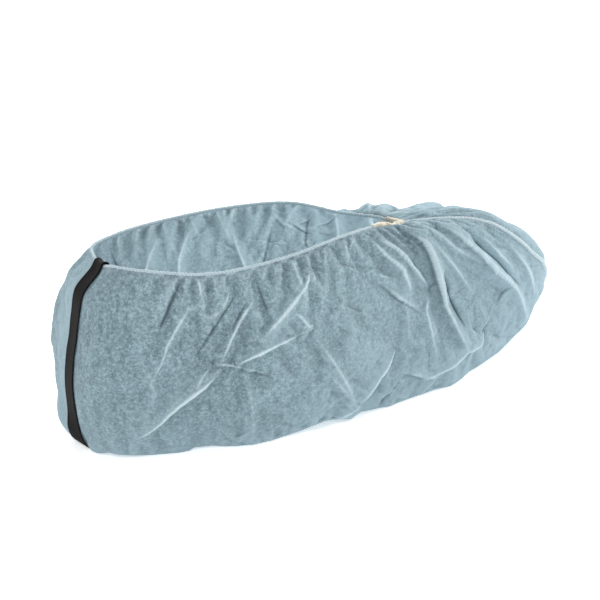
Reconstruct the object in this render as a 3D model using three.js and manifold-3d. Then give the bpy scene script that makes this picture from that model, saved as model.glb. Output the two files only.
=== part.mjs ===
// Shoe cover: a gathered nonwoven bag that is worn over a shoe, with an elastic
// rim, a stitched front seam and a conductive ribbon over the heel.
// Millimetres. +X points to the toe, +Y to the inner side of the foot, +Z up.
// It stands on its tread, and the origin is under the middle of its box.

import * as THREE from 'three';
import Module from 'manifold-3d';
import { mergeVertices } from 'three/addons/utils/BufferGeometryUtils.js';

// Tread, the flat part under the foot
const TREAD_LENGTH = 288;
const TREAD_HALF = 50;
const TOE_SPRING = 9;

// Rim of the opening
const OPENING_LENGTH = 184;
const OPENING_HALF = 40;
const RIM_SETBACK = 17;
const HEEL_HEIGHT = 104.5;

// Wall between tread and rim
const CLOTH = 1.2;
const SWELL = 20;
const LIFT = 40;
const LEAN = 20;
const DROP = 36;

// Folds and gathers in the wall. GATHER_DEPTH is where the gathers are fullest,
// below the rim, and SMOOTH_HALF how far the seam and the ribbon hold the cloth flat.
const FOLD_RISE = 2.6;
const FOLD_HALF = 9;
const GATHERS = 44;
const GATHER_RISE = 1.6;
const GATHER_DEPTH = 9;
const SMOOTH_HALF = 6;

// Elastic cord along the rim, and the lap of its two ends
const ELASTIC_WIDTH = 2.4;
const ELASTIC_HEIGHT = 2.8;
const LAP_THICKNESS = 1.4;
const LAP_HEIGHT = 4.4;
const LAP_LENGTH = 10;

// Front seam, from the opening over the toe
const SEAM_WIDTH = 2.6;
const SEAM_RISE = 1.2;
// Its heights, from the tread to the rim, with its shares of the loop there: it bears a
// little to the outer side
const SEAM_PATH = [
  [0, 0.5],
  [0.25, 0.492],
  [0.5, 0.479],
  [0.66, 0.478],
  [0.8, 0.483],
  [0.93, 0.484],
  [1, 0.497],
];

// Conductive ribbon: under the heel, up its back and over the rim
const RIBBON_WIDTH = 12;
const RIBBON_THICKNESS = 1;
const RIBBON_SIDE = 3.5;
const RIBBON_UNDER = 32;
const RIBBON_INSIDE = 46;

// Clearance between pieces that touch
const GAP = 0.3;

// Steps of the faceted surface, around and up
const HALF_STEPS = 66;
const ROWS = 14;

// The cloth under the heel covers the ribbon, which lies flush with the tread
const SLOT_DEPTH = RIBBON_THICKNESS + GAP;
const TREAD_CLOTH = CLOTH + SLOT_DEPTH;

const table = (names, rows) => rows.map((row) =>
  Object.fromEntries(names.split(' ').map((name, k) => [name, row[k]])));

// The tread's edge and the rim, from the heel (at 0) to the toe (at 1). tread and
// rim run along the foot, outer and inner are the widths to the two sides.
const OUTLINE = table('at tread treadOuter treadInner rim rimOuter rimInner', [
  [0.00, 0.000, 0.00, 0.00, 0.000, 0.00, 0.00],
  [0.10, 0.035, 0.53, 0.64, 0.015, 0.47, 0.48],
  [0.22, 0.160, 0.75, 0.76, 0.110, 0.77, 0.74],
  [0.36, 0.265, 0.91, 0.68, 0.275, 0.98, 0.92],
  [0.50, 0.410, 1.02, 0.70, 0.495, 1.00, 0.94],
  [0.64, 0.605, 0.86, 0.84, 0.700, 0.89, 0.80],
  [0.77, 0.755, 0.71, 0.92, 0.845, 0.65, 0.54],
  [0.89, 0.905, 0.36, 0.70, 0.950, 0.36, 0.25],
  [1.00, 1.000, -0.06, 0.06, 1.000, 0.00, 0.00],
]);

// Height of the rim on both sides, rise of the tread at the toe, and the four
// pulls that round the wall between them. gather is how full the gathers are.
const PROFILE = table('at rimOuter rimInner spring swell lift reach lean drop gather', [
  [0.00, 1.000, 1.000, 0.00, 0.50, 0.92, 0.00, 0.99, 0.70, 0.1],
  [0.10, 1.030, 0.990, 0.00, 0.86, 0.93, 0.06, 1.20, 0.78, 0.3],
  [0.22, 1.010, 0.985, 0.00, 0.84, 0.86, 0.04, 0.80, 0.94, 0.5],
  [0.36, 0.970, 0.975, 0.00, 0.73, 0.71, 0.10, 0.62, 0.99, 0.8],
  [0.50, 0.975, 0.970, 0.00, 0.73, 0.69, 0.20, 0.60, 0.89, 1.0],
  [0.64, 1.005, 0.950, 0.04, 0.62, 0.78, 0.30, 0.40, 0.67, 1.0],
  [0.77, 0.980, 0.890, 0.24, 0.56, 0.81, 0.50, 0.23, 0.36, 0.9],
  [0.89, 0.900, 0.870, 0.67, 0.66, 0.94, 0.88, 0.28, 0.06, 0.7],
  [1.00, 0.845, 0.845, 1.00, 1.08, 1.07, 1.10, 0.35, 0.05, 0.4],
]);

// Folds from one place on the wall to another: around is a share of the whole
// loop, 0 at the heel and 0.5 at the toe, up a share of the wall. rise is a share
// of FOLD_RISE, negative for a valley, and wide a share of FOLD_HALF.
const FOLDS = table('around up toAround toUp rise wide', [
  [0.068, 0.14, 0.178, 0.54, 0.9, 0.9],
  [0.150, 0.88, 0.094, 0.54, 0.6, 0.9],
  [0.204, 0.88, 0.146, 0.62, -0.8, 0.9],
  [0.246, 0.86, 0.188, 0.58, 0.9, 1.0],
  [0.190, 0.54, 0.259, 0.64, 0.6, 0.8],
  [0.256, 0.63, 0.283, 0.09, -0.8, 0.9],
  [0.282, 0.11, 0.321, 0.33, 1.0, 0.9],
  [0.298, 0.06, 0.324, 0.16, -0.7, 0.8],
  [0.342, 0.96, 0.377, 0.56, 0.9, 0.9],
  [0.371, 0.56, 0.360, 0.17, 0.7, 0.9],
  [0.410, 0.84, 0.386, 0.52, -1.3, 0.9],
  [0.385, 0.54, 0.389, 0.18, -1.0, 0.8],
  [0.414, 0.20, 0.346, 0.12, 0.8, 0.9],
  [0.429, 0.74, 0.467, 0.10, 1.1, 0.9],
  [0.446, 0.70, 0.452, 0.40, -0.7, 0.8],
  [0.545, 0.78, 0.532, 0.14, 0.9, 1.0],
  [0.590, 0.82, 0.612, 0.24, -1.1, 0.9],
  [0.628, 0.92, 0.645, 0.40, 0.9, 1.0],
  [0.700, 0.86, 0.722, 0.42, -0.8, 0.9],
  [0.742, 0.84, 0.716, 0.14, 0.9, 0.9],
  [0.818, 0.86, 0.862, 0.50, 0.8, 0.9],
  [0.922, 0.18, 0.806, 0.56, 0.9, 1.0],
  [0.905, 0.82, 0.934, 0.40, -0.6, 0.9],
]);

// A column of a table as a smooth closed curve round the foot. The second column
// is the other side's, and side -1 or 1 gives widths their direction.
function around(rows, outer, inner = outer, sides = [1, 1]) {
  const ends = [rows[0], rows[rows.length - 1]];
  const back = rows.filter((row) => !ends.includes(row)).reverse();
  const knots = [
    ...rows.map((row) => [row.at / 2, sides[0] * row[outer]]),
    ...back.map((row) => [1 - row.at / 2, sides[1] * row[inner]]),
  ];
  const count = knots.length;
  const knot = (k) => [
    knots[(k + count) % count][0] + Math.floor(k / count),
    knots[(k + count) % count][1],
  ];
  const slope = (k) => {
    const [before, here, after] = [knot(k - 1), knot(k), knot(k + 1)];
    const [h0, h1] = [here[0] - before[0], after[0] - here[0]];
    return (h1 * (here[1] - before[1]) / h0 + h0 * (after[1] - here[1]) / h1) / (h0 + h1);
  };
  return (share) => {
    const a = share - Math.floor(share);
    const k = knots.findLastIndex((pair) => pair[0] <= a);
    const [u0, v0] = knot(k);
    const [u1, v1] = knot(k + 1);
    const h = u1 - u0;
    const t = (a - u0) / h;
    const rest = 1 - t;
    return rest * rest * (v0 * (1 + 2 * t) + t * h * slope(k))
      + t * t * (v1 * (1 + 2 * rest) - rest * h * slope(k + 1));
  };
}

const curve = {
  treadX: around(OUTLINE, 'tread'),
  treadY: around(OUTLINE, 'treadOuter', 'treadInner', [-1, 1]),
  rimX: around(OUTLINE, 'rim'),
  rimY: around(OUTLINE, 'rimOuter', 'rimInner', [-1, 1]),
  rimZ: around(PROFILE, 'rimOuter', 'rimInner'),
  spring: around(PROFILE, 'spring'),
  swell: around(PROFILE, 'swell'),
  lift: around(PROFILE, 'lift'),
  reach: around(PROFILE, 'reach'),
  lean: around(PROFILE, 'lean'),
  drop: around(PROFILE, 'drop'),
  gather: around(PROFILE, 'gather'),
};

const UP = new THREE.Vector3(0, 0, 1);
const EPSILON = 1e-3;

const treadEdge = (a) => new THREE.Vector3(
  curve.treadX(a) * TREAD_LENGTH,
  curve.treadY(a) * TREAD_HALF,
  Math.max(0, curve.spring(a)) * TOE_SPRING,
);

const rimEdge = (a) => new THREE.Vector3(
  RIM_SETBACK + curve.rimX(a) * OPENING_LENGTH,
  curve.rimY(a) * OPENING_HALF,
  curve.rimZ(a) * HEEL_HEIGHT,
);

// Level direction away from the tread's edge
function outward(a) {
  const step = treadEdge(a + EPSILON).sub(treadEdge(a - EPSILON)).setZ(0).normalize();
  return step.cross(UP).normalize();
}

// The wall before folding: a curve from the tread's edge to the rim
function smoothWall(a, up) {
  const foot = treadEdge(a);
  const rim = rimEdge(a);
  const out = outward(a);
  const reach = foot.clone().sub(rim).setZ(0).multiplyScalar(curve.reach(a));
  const low = foot.clone()
    .addScaledVector(out, curve.swell(a) * SWELL)
    .addScaledVector(UP, curve.lift(a) * LIFT);
  const high = rim.clone().add(reach)
    .addScaledVector(out, curve.lean(a) * LEAN)
    .addScaledVector(UP, -curve.drop(a) * DROP);
  return new THREE.CubicBezierCurve3(foot, low, high, rim).getPoint(up);
}

// Outward normal of a surface given as a function of around and up
function normalOf(surface, a, up) {
  const below = Math.max(0, up - EPSILON);
  const above = Math.min(1, up + EPSILON);
  const along = surface(a + EPSILON, up).sub(surface(a - EPSILON, up));
  const rising = surface(a, above).sub(surface(a, below));
  return along.cross(rising).normalize();
}

const FOLD_STEPS = 8;
const foldLines = FOLDS.map((fold) => Array.from({ length: FOLD_STEPS + 1 }, (_, k) => {
  const t = k / FOLD_STEPS;
  return smoothWall(
    THREE.MathUtils.lerp(fold.around, fold.toAround, t),
    THREE.MathUtils.lerp(fold.up, fold.toUp, t),
  );
}));

// How far a fold lifts the cloth at a point: full on its line, fading to its sides and ends
function foldAt(fold, line, point) {
  let best = { distance: Infinity, share: 0 };
  const nearest = new THREE.Vector3();
  line.slice(1).forEach((end, k) => {
    const segment = new THREE.Line3(line[k], end);
    const t = segment.closestPointToPointParameter(point, true);
    const distance = segment.at(t, nearest).distanceTo(point);
    if (distance < best.distance) {
      best = { distance, share: (k + t) / FOLD_STEPS };
    }
  });
  const side = Math.min(1, best.distance / (fold.wide * FOLD_HALF));
  const ends = Math.sqrt(Math.sin(Math.PI * best.share));
  return fold.rise * FOLD_RISE * ends * (1 + Math.cos(Math.PI * side)) / 2;
}

// The share of the loop at which the front seam runs, at a height
function seamShare(up) {
  const after = Math.max(1, SEAM_PATH.findIndex(([height]) => height >= up));
  const [[low, first], [high, second]] = [SEAM_PATH[after - 1], SEAM_PATH[after]];
  return THREE.MathUtils.mapLinear(up, low, high, first, second);
}

// The cloth lies smooth along the seam, the ribbon, the tread's edge and the rim
const freedom = (distance) => THREE.MathUtils.smoothstep(distance, SMOOTH_HALF, 3 * SMOOTH_HALF);

function relief(a, up) {
  const point = smoothWall(a, up);
  const toRim = point.distanceTo(rimEdge(a));
  const toTread = point.distanceTo(treadEdge(a));
  const toHeel = point.distanceTo(smoothWall(0, up));
  const toSeam = point.distanceTo(smoothWall(seamShare(up), up));
  const folds = FOLDS.reduce((sum, fold, k) => sum + foldAt(fold, foldLines[k], point), 0);
  const edges = (1 - Math.exp(-toRim / GATHER_DEPTH)) * (1 - Math.exp(-toTread / FOLD_HALF));
  const depth = toRim / GATHER_DEPTH;
  const gathers = Math.sin(2 * Math.PI * GATHERS * a) * curve.gather(a) * depth * Math.exp(1 - depth);
  return freedom(toHeel) * freedom(toSeam) * (folds * edges + GATHER_RISE * gathers);
}

// The outer face of the cloth
const wall = (a, up) => smoothWall(a, up).addScaledVector(normalOf(smoothWall, a, up), relief(a, up));

// A closed triangle mesh from its points and index triples
function body(points, triangles) {
  const geometry = new THREE.BufferGeometry();
  const kept = triangles.filter(([a, b, c]) => a !== b && b !== c && a !== c);
  const numbers = points.flatMap((point) => point.toArray());
  geometry.setAttribute('position', new THREE.Float32BufferAttribute(numbers, 3));
  geometry.setIndex(kept.flat());
  return geometry;
}

// Where the cloth's inner face meets the top of the tread
function innerFoot(a) {
  const out = curve.swell(a) * SWELL;
  const rise = curve.lift(a) * LIFT;
  const length = Math.hypot(out, rise);
  const along = (TREAD_CLOTH - out * CLOTH / length) * length / rise;
  const level = (out * along - rise * CLOTH) / length;
  return treadEdge(a).addScaledVector(outward(a), level).addScaledVector(UP, TREAD_CLOTH);
}

// The bag: outer and inner face, joined round the rim
function bagGeometry() {
  const loop = 2 * HALF_STEPS;
  const outer = [];
  for (let i = 0; i <= ROWS; i += 1) {
    for (let j = 0; j < loop; j += 1) {
      outer.push(wall(j / loop, i / ROWS));
    }
  }
  const at = (i, j) => i * loop + (j + loop) % loop;
  const inner = outer.map((point, k) => {
    const i = Math.floor(k / loop);
    const j = k % loop;
    if (i === 0) {
      return innerFoot(j / loop);
    }
    if (i === ROWS) {
      return rimEdge(j / loop).addScaledVector(normalOf(smoothWall, j / loop, 1), -CLOTH);
    }
    const along = outer[at(i, j + 1)].clone().sub(outer[at(i, j - 1)]);
    const rising = outer[at(i + 1, j)].clone().sub(outer[at(i - 1, j)]);
    return point.clone().addScaledVector(along.cross(rising).normalize(), -CLOTH);
  });
  const inside = outer.length;
  const triangles = [];
  const quad = (a, b, c, d) => triangles.push([a, b, c], [a, c, d]);
  for (let j = 0; j < loop; j += 1) {
    for (let i = 0; i < ROWS; i += 1) {
      quad(at(i, j), at(i, j + 1), at(i + 1, j + 1), at(i + 1, j));
      quad(inside + at(i, j), inside + at(i + 1, j), inside + at(i + 1, j + 1), inside + at(i, j + 1));
    }
    quad(at(ROWS, j), at(ROWS, j + 1), inside + at(ROWS, j + 1), inside + at(ROWS, j));
  }
  for (let j = 0; j < HALF_STEPS; j += 1) {
    quad(at(0, j), at(0, -j), at(0, -j - 1), at(0, j + 1));
    quad(inside + at(0, j), inside + at(0, j + 1), inside + at(0, -j - 1), inside + at(0, -j));
  }
  return body([...outer, ...inner], triangles);
}

// Triangles round a bar whose points come ring by ring; an open bar gets flat ends
function skin(points, count, sides, closed = false) {
  const triangles = [];
  const at = (i, k) => (i % count) * sides + (k + sides) % sides;
  for (let i = 0; i < (closed ? count : count - 1); i += 1) {
    for (let k = 0; k < sides; k += 1) {
      triangles.push([at(i, k), at(i, k + 1), at(i + 1, k + 1)]);
      triangles.push([at(i, k), at(i + 1, k + 1), at(i + 1, k)]);
    }
  }
  // The ends are strips between the ring's two halves
  for (let k = 0; k < sides / 2 - 1 && !closed; k += 1) {
    const corners = [k, k + 1, sides - k - 2, sides - k - 1];
    const [a, b, c, d] = corners.map((corner) => at(0, corner));
    const [e, f, g, h] = corners.map((corner) => at(count - 1, corner));
    triangles.push([a, c, b], [a, d, c], [e, f, g], [e, g, h]);
  }
  return body(points, triangles);
}

// A bar of constant section along a path. Each frame has a centre and its across and
// out directions, and the section is a list of [across, out] corners.
function sweep(frames, section, closed = false) {
  const points = frames.flatMap(({ centre, across, out }) => section.map(([x, y]) =>
    centre.clone().addScaledVector(across, x).addScaledVector(out, y)));
  return skin(points, frames.length, section.length, closed);
}

// Frames along an open path with mitred corners; across stays the same all along
function mitred(path, across) {
  const direction = path.slice(1).map((point, k) => point.clone().sub(path[k]).normalize());
  return path.map((centre, k) => {
    const before = direction[Math.max(0, k - 1)];
    const after = direction[Math.min(direction.length - 1, k)];
    const middle = before.clone().add(after).normalize();
    const out = across.clone().cross(middle).multiplyScalar(-1 / middle.dot(before));
    return { centre, across, out };
  });
}

const slab = (width, thickness, taper = 1) => [
  [-width / 2, -thickness / 2],
  [width / 2, -thickness / 2],
  [taper * width / 2, thickness / 2],
  [-taper * width / 2, thickness / 2],
];

// The rim's edge: middle of the cloth, the direction out of the cloth's edge, and outward
function rimFrame(a) {
  const out = normalOf(smoothWall, a, 1);
  const edge = rimEdge(a).addScaledVector(out, -CLOTH / 2);
  const past = rimEdge(a).sub(smoothWall(a, 1 - EPSILON)).normalize();
  return { edge, past, out };
}

// The elastic sits on the rim's edge
function elasticFrame(a) {
  const { edge, past, out } = rimFrame(a);
  return { centre: edge.addScaledVector(past, GAP + ELASTIC_HEIGHT / 2), across: past, out };
}

function elasticGeometry() {
  const sides = 6;
  const steps = 2 * HALF_STEPS;
  const frames = Array.from({ length: steps }, (_, k) => elasticFrame(k / steps));
  const section = Array.from({ length: sides }, (_, k) => {
    const angle = Math.PI * (2 * k + 1) / sides;
    return [Math.cos(angle) * ELASTIC_HEIGHT / 2, Math.sin(angle) * ELASTIC_WIDTH / 2];
  });
  return sweep(frames, section, true);
}

// The ends of the elastic lap just past the front of the opening, on its inner side
function lapGeometry() {
  const steps = 4;
  const frames = [];
  for (let share = 0.504; frames.length <= steps;) {
    const frame = elasticFrame(share);
    frame.centre.addScaledVector(frame.out, -(ELASTIC_WIDTH + LAP_THICKNESS) / 2 - GAP);
    frames.push(frame);
    const perShare = rimEdge(share).distanceTo(rimEdge(share + EPSILON)) / EPSILON;
    share += LAP_LENGTH / steps / perShare;
  }
  return sweep(frames, slab(LAP_HEIGHT, LAP_THICKNESS));
}

// The front seam stands on the cloth over the toe
function seamGeometry() {
  // It starts half a row above the tread and ends just short of the rim
  const rows = [0.5, ...Array.from({ length: ROWS - 1 }, (_, k) => k + 1), ROWS - 0.05];
  const frames = rows.reverse().map((row) => {
    const up = row / ROWS;
    const share = seamShare(up);
    const out = normalOf(smoothWall, share, up);
    const across = smoothWall(share + EPSILON, up).sub(smoothWall(share - EPSILON, up)).normalize();
    return { centre: wall(share, up).addScaledVector(out, GAP + SEAM_RISE / 2), across, out };
  });
  return sweep(frames, slab(SEAM_WIDTH, SEAM_RISE, 0.5));
}

// Share of the loop at which the ribbon's middle lies beside the middle of the heel
const ribbonAt = EPSILON * RIBBON_SIDE / treadEdge(EPSILON).distanceTo(treadEdge(0));

// The share of the loop that lies a length beside the ribbon's middle, at a height
function ribbonShare(side, up) {
  const ahead = smoothWall(ribbonAt + EPSILON, up);
  return ribbonAt + EPSILON * side / ahead.distanceTo(smoothWall(ribbonAt, up));
}

// The ribbon's middle surface along one line: under the heel, up it, and over the elastic
function ribbonLine(side) {
  const stand = GAP + RIBBON_THICKNESS / 2;
  const out = outward(ribbonAt);
  const across = UP.clone().cross(out);
  const foot = treadEdge(ribbonShare(side, 0));
  const end = treadEdge(ribbonAt).addScaledVector(out, -RIBBON_UNDER).addScaledVector(across, side);
  const heel = Array.from({ length: ROWS }, (_, k) => {
    const up = (k + 0.5) / ROWS;
    const share = ribbonShare(side, up);
    return wall(share, up).addScaledVector(normalOf(smoothWall, share, up), stand);
  });
  const elastic = elasticFrame(ribbonShare(side, 1));
  const radius = Math.max(ELASTIC_WIDTH, ELASTIC_HEIGHT) / 2 + stand;
  const start = Math.atan2(elastic.out.dot(UP), elastic.out.dot(out));
  const bends = 5;
  const overRim = Array.from({ length: bends + 1 }, (_, k) => {
    const turn = THREE.MathUtils.lerp(start, Math.PI, k / bends);
    return elastic.centre.clone()
      .addScaledVector(out, Math.cos(turn) * radius)
      .addScaledVector(UP, Math.sin(turn) * radius);
  });
  const inside = [0.5, 1].map((share) => overRim[overRim.length - 1].clone()
    .addScaledVector(UP, -share * RIBBON_INSIDE));
  const under = [end, foot.addScaledVector(out, stand)];
  under.forEach((point) => point.setZ(RIBBON_THICKNESS / 2));
  return mitred([...under, ...heel, ...overRim, ...inside], across);
}

function ribbonGeometry() {
  const lines = [-0.5, -0.25, 0, 0.25, 0.5].map((share) => ribbonLine(share * RIBBON_WIDTH));
  const rows = lines[0].length;
  const faces = [-0.5, 0.5].map((share) => lines.map((line) => line.map(({ centre, out }) =>
    centre.clone().addScaledVector(out, share * RIBBON_THICKNESS))));
  // Round each row: along the lower face, then back along the upper one
  const ring = [...faces[0], ...faces[1].reverse()];
  const points = Array.from({ length: rows }, (_, i) => ring.map((line) => line[i])).flat();
  return skin(points, rows, ring.length);
}

// Slot in the underside for the ribbon, open to the back of the heel
function slotGeometry() {
  const out = outward(ribbonAt);
  const length = RIBBON_UNDER + GAP + SWELL;
  const slot = new THREE.BoxGeometry(length, RIBBON_WIDTH + 2 * GAP, 2 * SLOT_DEPTH);
  slot.rotateZ(Math.atan2(out.y, out.x));
  const centre = treadEdge(ribbonAt).addScaledVector(out, SWELL - length / 2);
  return slot.translate(centre.x, centre.y, 0);
}

const wasm = await Module();
wasm.setup();

function toSolid(geometry) {
  const bare = geometry.clone();
  bare.deleteAttribute('normal');
  bare.deleteAttribute('uv');
  const merged = mergeVertices(bare, 1e-5);
  return new wasm.Manifold(new wasm.Mesh({
    numProp: 3,
    vertProperties: new Float32Array(merged.attributes.position.array),
    triVerts: new Uint32Array(merged.index.array),
  }));
}

function fromSolid(solid) {
  const { vertProperties, triVerts } = solid.getMesh();
  const geometry = new THREE.BufferGeometry();
  geometry.setAttribute('position', new THREE.BufferAttribute(vertProperties, 3));
  geometry.setIndex(new THREE.BufferAttribute(triVerts, 1));
  return geometry;
}

const cloth = new THREE.MeshStandardMaterial({ color: 0x9db4be, roughness: 0.85, metalness: 0 });
const elastic = new THREE.MeshStandardMaterial({ color: 0xe6e2d2, roughness: 0.8, metalness: 0 });
const thread = new THREE.MeshStandardMaterial({ color: 0xd3dcda, roughness: 0.8, metalness: 0 });
const ribbon = new THREE.MeshStandardMaterial({ color: 0x3d3b39, roughness: 0.7, metalness: 0 });

const bag = fromSolid(toSolid(bagGeometry()).subtract(toSolid(slotGeometry())));
const pieces = [
  ['fabric_bag', bag, cloth],
  ['elastic_band', elasticGeometry(), elastic],
  ['elastic_lap', lapGeometry(), elastic.clone()],
  ['front_seam', seamGeometry(), thread],
  ['conductive_strip', ribbonGeometry(), ribbon],
];

const cover = new THREE.Group();
for (const [name, geometry, material] of pieces) {
  const mesh = new THREE.Mesh(geometry, material);
  mesh.name = name;
  cover.add(mesh);
}

// The origin goes under the middle of the box
const middle = new THREE.Box3().setFromObject(cover).getCenter(new THREE.Vector3());
cover.children.forEach((mesh) => mesh.position.set(-middle.x, -middle.y, 0));

export default cover;
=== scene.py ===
"""Shoe cover: a gathered nonwoven bag with an elastic rim, a front seam and a heel ribbon.

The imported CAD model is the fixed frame. The cloth, the rolled hem on the elastic, the
lap of the elastic, the overlocked front seam and the ribbon over the heel each stand
for their CAD node. Metres; +X points to the toe, +Y to the inner side.
"""

from __future__ import annotations

import logging
import math
import sys
from dataclasses import dataclass, field
from enum import Enum
from typing import ClassVar

import bmesh
import bpy
import numpy as np
from mathutils import Matrix, Vector

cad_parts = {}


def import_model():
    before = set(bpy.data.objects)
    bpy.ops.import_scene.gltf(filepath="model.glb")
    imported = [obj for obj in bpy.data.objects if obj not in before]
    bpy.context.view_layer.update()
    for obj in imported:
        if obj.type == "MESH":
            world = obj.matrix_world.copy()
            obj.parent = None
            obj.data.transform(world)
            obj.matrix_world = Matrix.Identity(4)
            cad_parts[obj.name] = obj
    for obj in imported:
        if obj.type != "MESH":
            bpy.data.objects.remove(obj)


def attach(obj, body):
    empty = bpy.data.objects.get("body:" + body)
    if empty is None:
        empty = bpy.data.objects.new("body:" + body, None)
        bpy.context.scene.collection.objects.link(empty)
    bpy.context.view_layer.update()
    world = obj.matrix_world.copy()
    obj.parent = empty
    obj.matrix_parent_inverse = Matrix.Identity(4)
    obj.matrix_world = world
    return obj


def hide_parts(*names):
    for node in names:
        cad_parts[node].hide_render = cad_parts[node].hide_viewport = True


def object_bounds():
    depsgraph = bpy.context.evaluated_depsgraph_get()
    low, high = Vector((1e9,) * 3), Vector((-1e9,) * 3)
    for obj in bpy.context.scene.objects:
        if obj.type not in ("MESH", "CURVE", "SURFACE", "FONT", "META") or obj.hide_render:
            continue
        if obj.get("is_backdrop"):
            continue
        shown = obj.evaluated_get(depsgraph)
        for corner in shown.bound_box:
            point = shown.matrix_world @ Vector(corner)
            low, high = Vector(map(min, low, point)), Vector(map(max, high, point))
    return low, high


log = logging.getLogger("shoe_cover")

MM = 0.001
STEP = 1e-3  # share of the loop, for slopes
BODY = "root"
UP = np.array([0.0, 0.0, 1.0])

# Attributes that a piece carries for its finish: lengths on it, and three masks from 0 to 1: pale, a
# painted highlight on the cloth's crests that is also the pale of the hem and the seam and the ribbon's
# selvedges; clear, paler cloth that is partly painted light; and painted shade in the cloth's hollows
FLAT = "cloth_flat"
PALE = "cloth_pale"
CLEAR = "cloth_clear"
PAINTED_SHADE = "cloth_hollow"


class Side(Enum):
    """The two halves of the cover, by the word in their names."""

    OUTER = "outer"
    INNER = "inner"


# Small tools for arrays and meshes


def unit(vectors: np.ndarray) -> np.ndarray:
    """Vectors scaled to length one."""
    return vectors / (np.linalg.norm(vectors, axis=-1, keepdims=True) + 1e-12)


def smoothstep(low: float, high: float, value: np.ndarray) -> np.ndarray:
    """Zero before low, one past high and smooth between; low may be the larger one."""
    t = np.clip((value - low) / (high - low), 0.0, 1.0)
    return t * t * (3 - 2 * t)


def hump(value: np.ndarray, middle: float, width: float) -> np.ndarray:
    """A smooth hump, one high, round a middle value."""
    return np.exp(-(((value - middle) / width) ** 2))


def past_heel(share: np.ndarray, place: float) -> np.ndarray:
    """Share of the loop past a place near the heel, from -0.5 to 0.5."""
    return (np.asarray(share) + (0.5 - place)) % 1.0 - 0.5


def circle(count: int) -> np.ndarray:
    """Angles of points that lie evenly round a circle."""
    return 2 * math.pi * np.arange(count) / count


def turned(angle: np.ndarray, first: np.ndarray, second: np.ndarray) -> np.ndarray:
    """Directions turned by angles from a first direction towards a second."""
    return np.cos(angle)[..., None] * first + np.sin(angle)[..., None] * second


def arc_length(points: np.ndarray, axis: int) -> np.ndarray:
    """Length run along one axis of a grid of points, from its first row or column.

    Args:
        points: a grid of points.
        axis: 0 to run down the columns, 1 along the rows.

    Returns:
        A length for each point.
    """
    steps = np.linalg.norm(np.diff(points, axis=axis), axis=-1)
    run = np.cumsum(steps, axis=axis)
    return np.concatenate([np.zeros_like(np.take(run, [0], axis)), run], axis)


def grid_normals(points: np.ndarray) -> np.ndarray:
    """Outward normals of a grid whose rows go round the cover and whose columns go up.

    Args:
        points: the grid of points.

    Returns:
        A direction of length one for each point.
    """
    along = np.gradient(points, axis=1)
    rising = np.gradient(points, axis=0)
    return unit(np.cross(along, rising))


def soften(heights: np.ndarray, passes: int) -> np.ndarray:
    """A height grid blurred by its direct neighbours.

    Args:
        heights: the grid.
        passes: how often it is blurred.

    Returns:
        The blurred grid.
    """
    for _ in range(passes):
        padded = np.pad(heights, 1, mode="edge")
        sides = padded[1:-1, :-2] + padded[1:-1, 2:] + padded[:-2, 1:-1] + padded[2:, 1:-1]
        heights = 0.5 * heights + 0.125 * sides
    return heights


def grid_faces(rows: int, columns: int, closed: bool = False) -> np.ndarray:
    """Quads of a grid whose points come row by row.

    Args:
        rows: number of rows.
        columns: number of points in a row.
        closed: whether each row is a ring.

    Returns:
        One line of four point numbers for each quad.
    """
    i = np.arange(rows - 1)[:, None] * columns
    j = np.arange(columns if closed else columns - 1)[None, :]
    ahead = (j + 1) % columns
    return np.stack([i + j, i + ahead, i + ahead + columns, i + j + columns], -1).reshape(-1, 4)


def mesh_piece(name: str, points: np.ndarray, faces: list[list[int]]) -> bpy.types.Object:
    """Make a smooth-shaded mesh object at the origin.

    Args:
        name: the piece's name.
        points: its points, in metres.
        faces: its faces, as lists of point numbers.

    Returns:
        The new object, linked to the scene.
    """
    mesh = bpy.data.meshes.new(name)
    mesh.from_pydata(points.reshape(-1, 3).tolist(), [], faces)
    mesh.polygons.foreach_set("use_smooth", np.ones(len(mesh.polygons), bool))
    mesh.update()
    piece = bpy.data.objects.new(name, mesh)
    bpy.context.scene.collection.objects.link(piece)
    return piece


def set_attribute(piece: bpy.types.Object, name: str, values: np.ndarray) -> None:
    """Store one number or one vector for each point of a piece.

    Args:
        piece: the piece.
        name: the attribute's name.
        values: a number or a vector for each point.
    """
    kind, key = ("FLOAT", "value") if values.ndim == 1 else ("FLOAT_VECTOR", "vector")
    layer = piece.data.attributes.new(name, kind, "POINT")
    layer.data.foreach_set(key, values.astype(np.float32).ravel())


def set_flat(piece: bpy.types.Object, x: np.ndarray, y: np.ndarray) -> None:
    """Store lengths in two directions over a piece, for the pattern of its finish."""
    x, y = np.broadcast_arrays(x, y)
    set_attribute(piece, FLAT, np.stack([x, y, np.zeros(x.shape)], -1).reshape(-1, 3))


def set_shade(piece: bpy.types.Object, name: str, value: float) -> None:
    """Store the same number for every point of a piece."""
    set_attribute(piece, name, np.full(len(piece.data.vertices), value))


def ring_faces(rings: int, sides: int, closed: bool = False) -> list[list[int]]:
    """Faces over a row of rings whose points come ring by ring.

    Args:
        rings: number of rings.
        sides: number of points in a ring.
        closed: whether the last ring joins the first; otherwise both ends are capped.

    Returns:
        The faces, as lists of point numbers.
    """
    faces = (grid_faces(rings + closed, sides, closed=True) % (rings * sides)).tolist()
    if not closed:
        last = (rings - 1) * sides
        faces += [list(range(sides))[::-1], list(range(last, last + sides))]
    return faces


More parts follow.
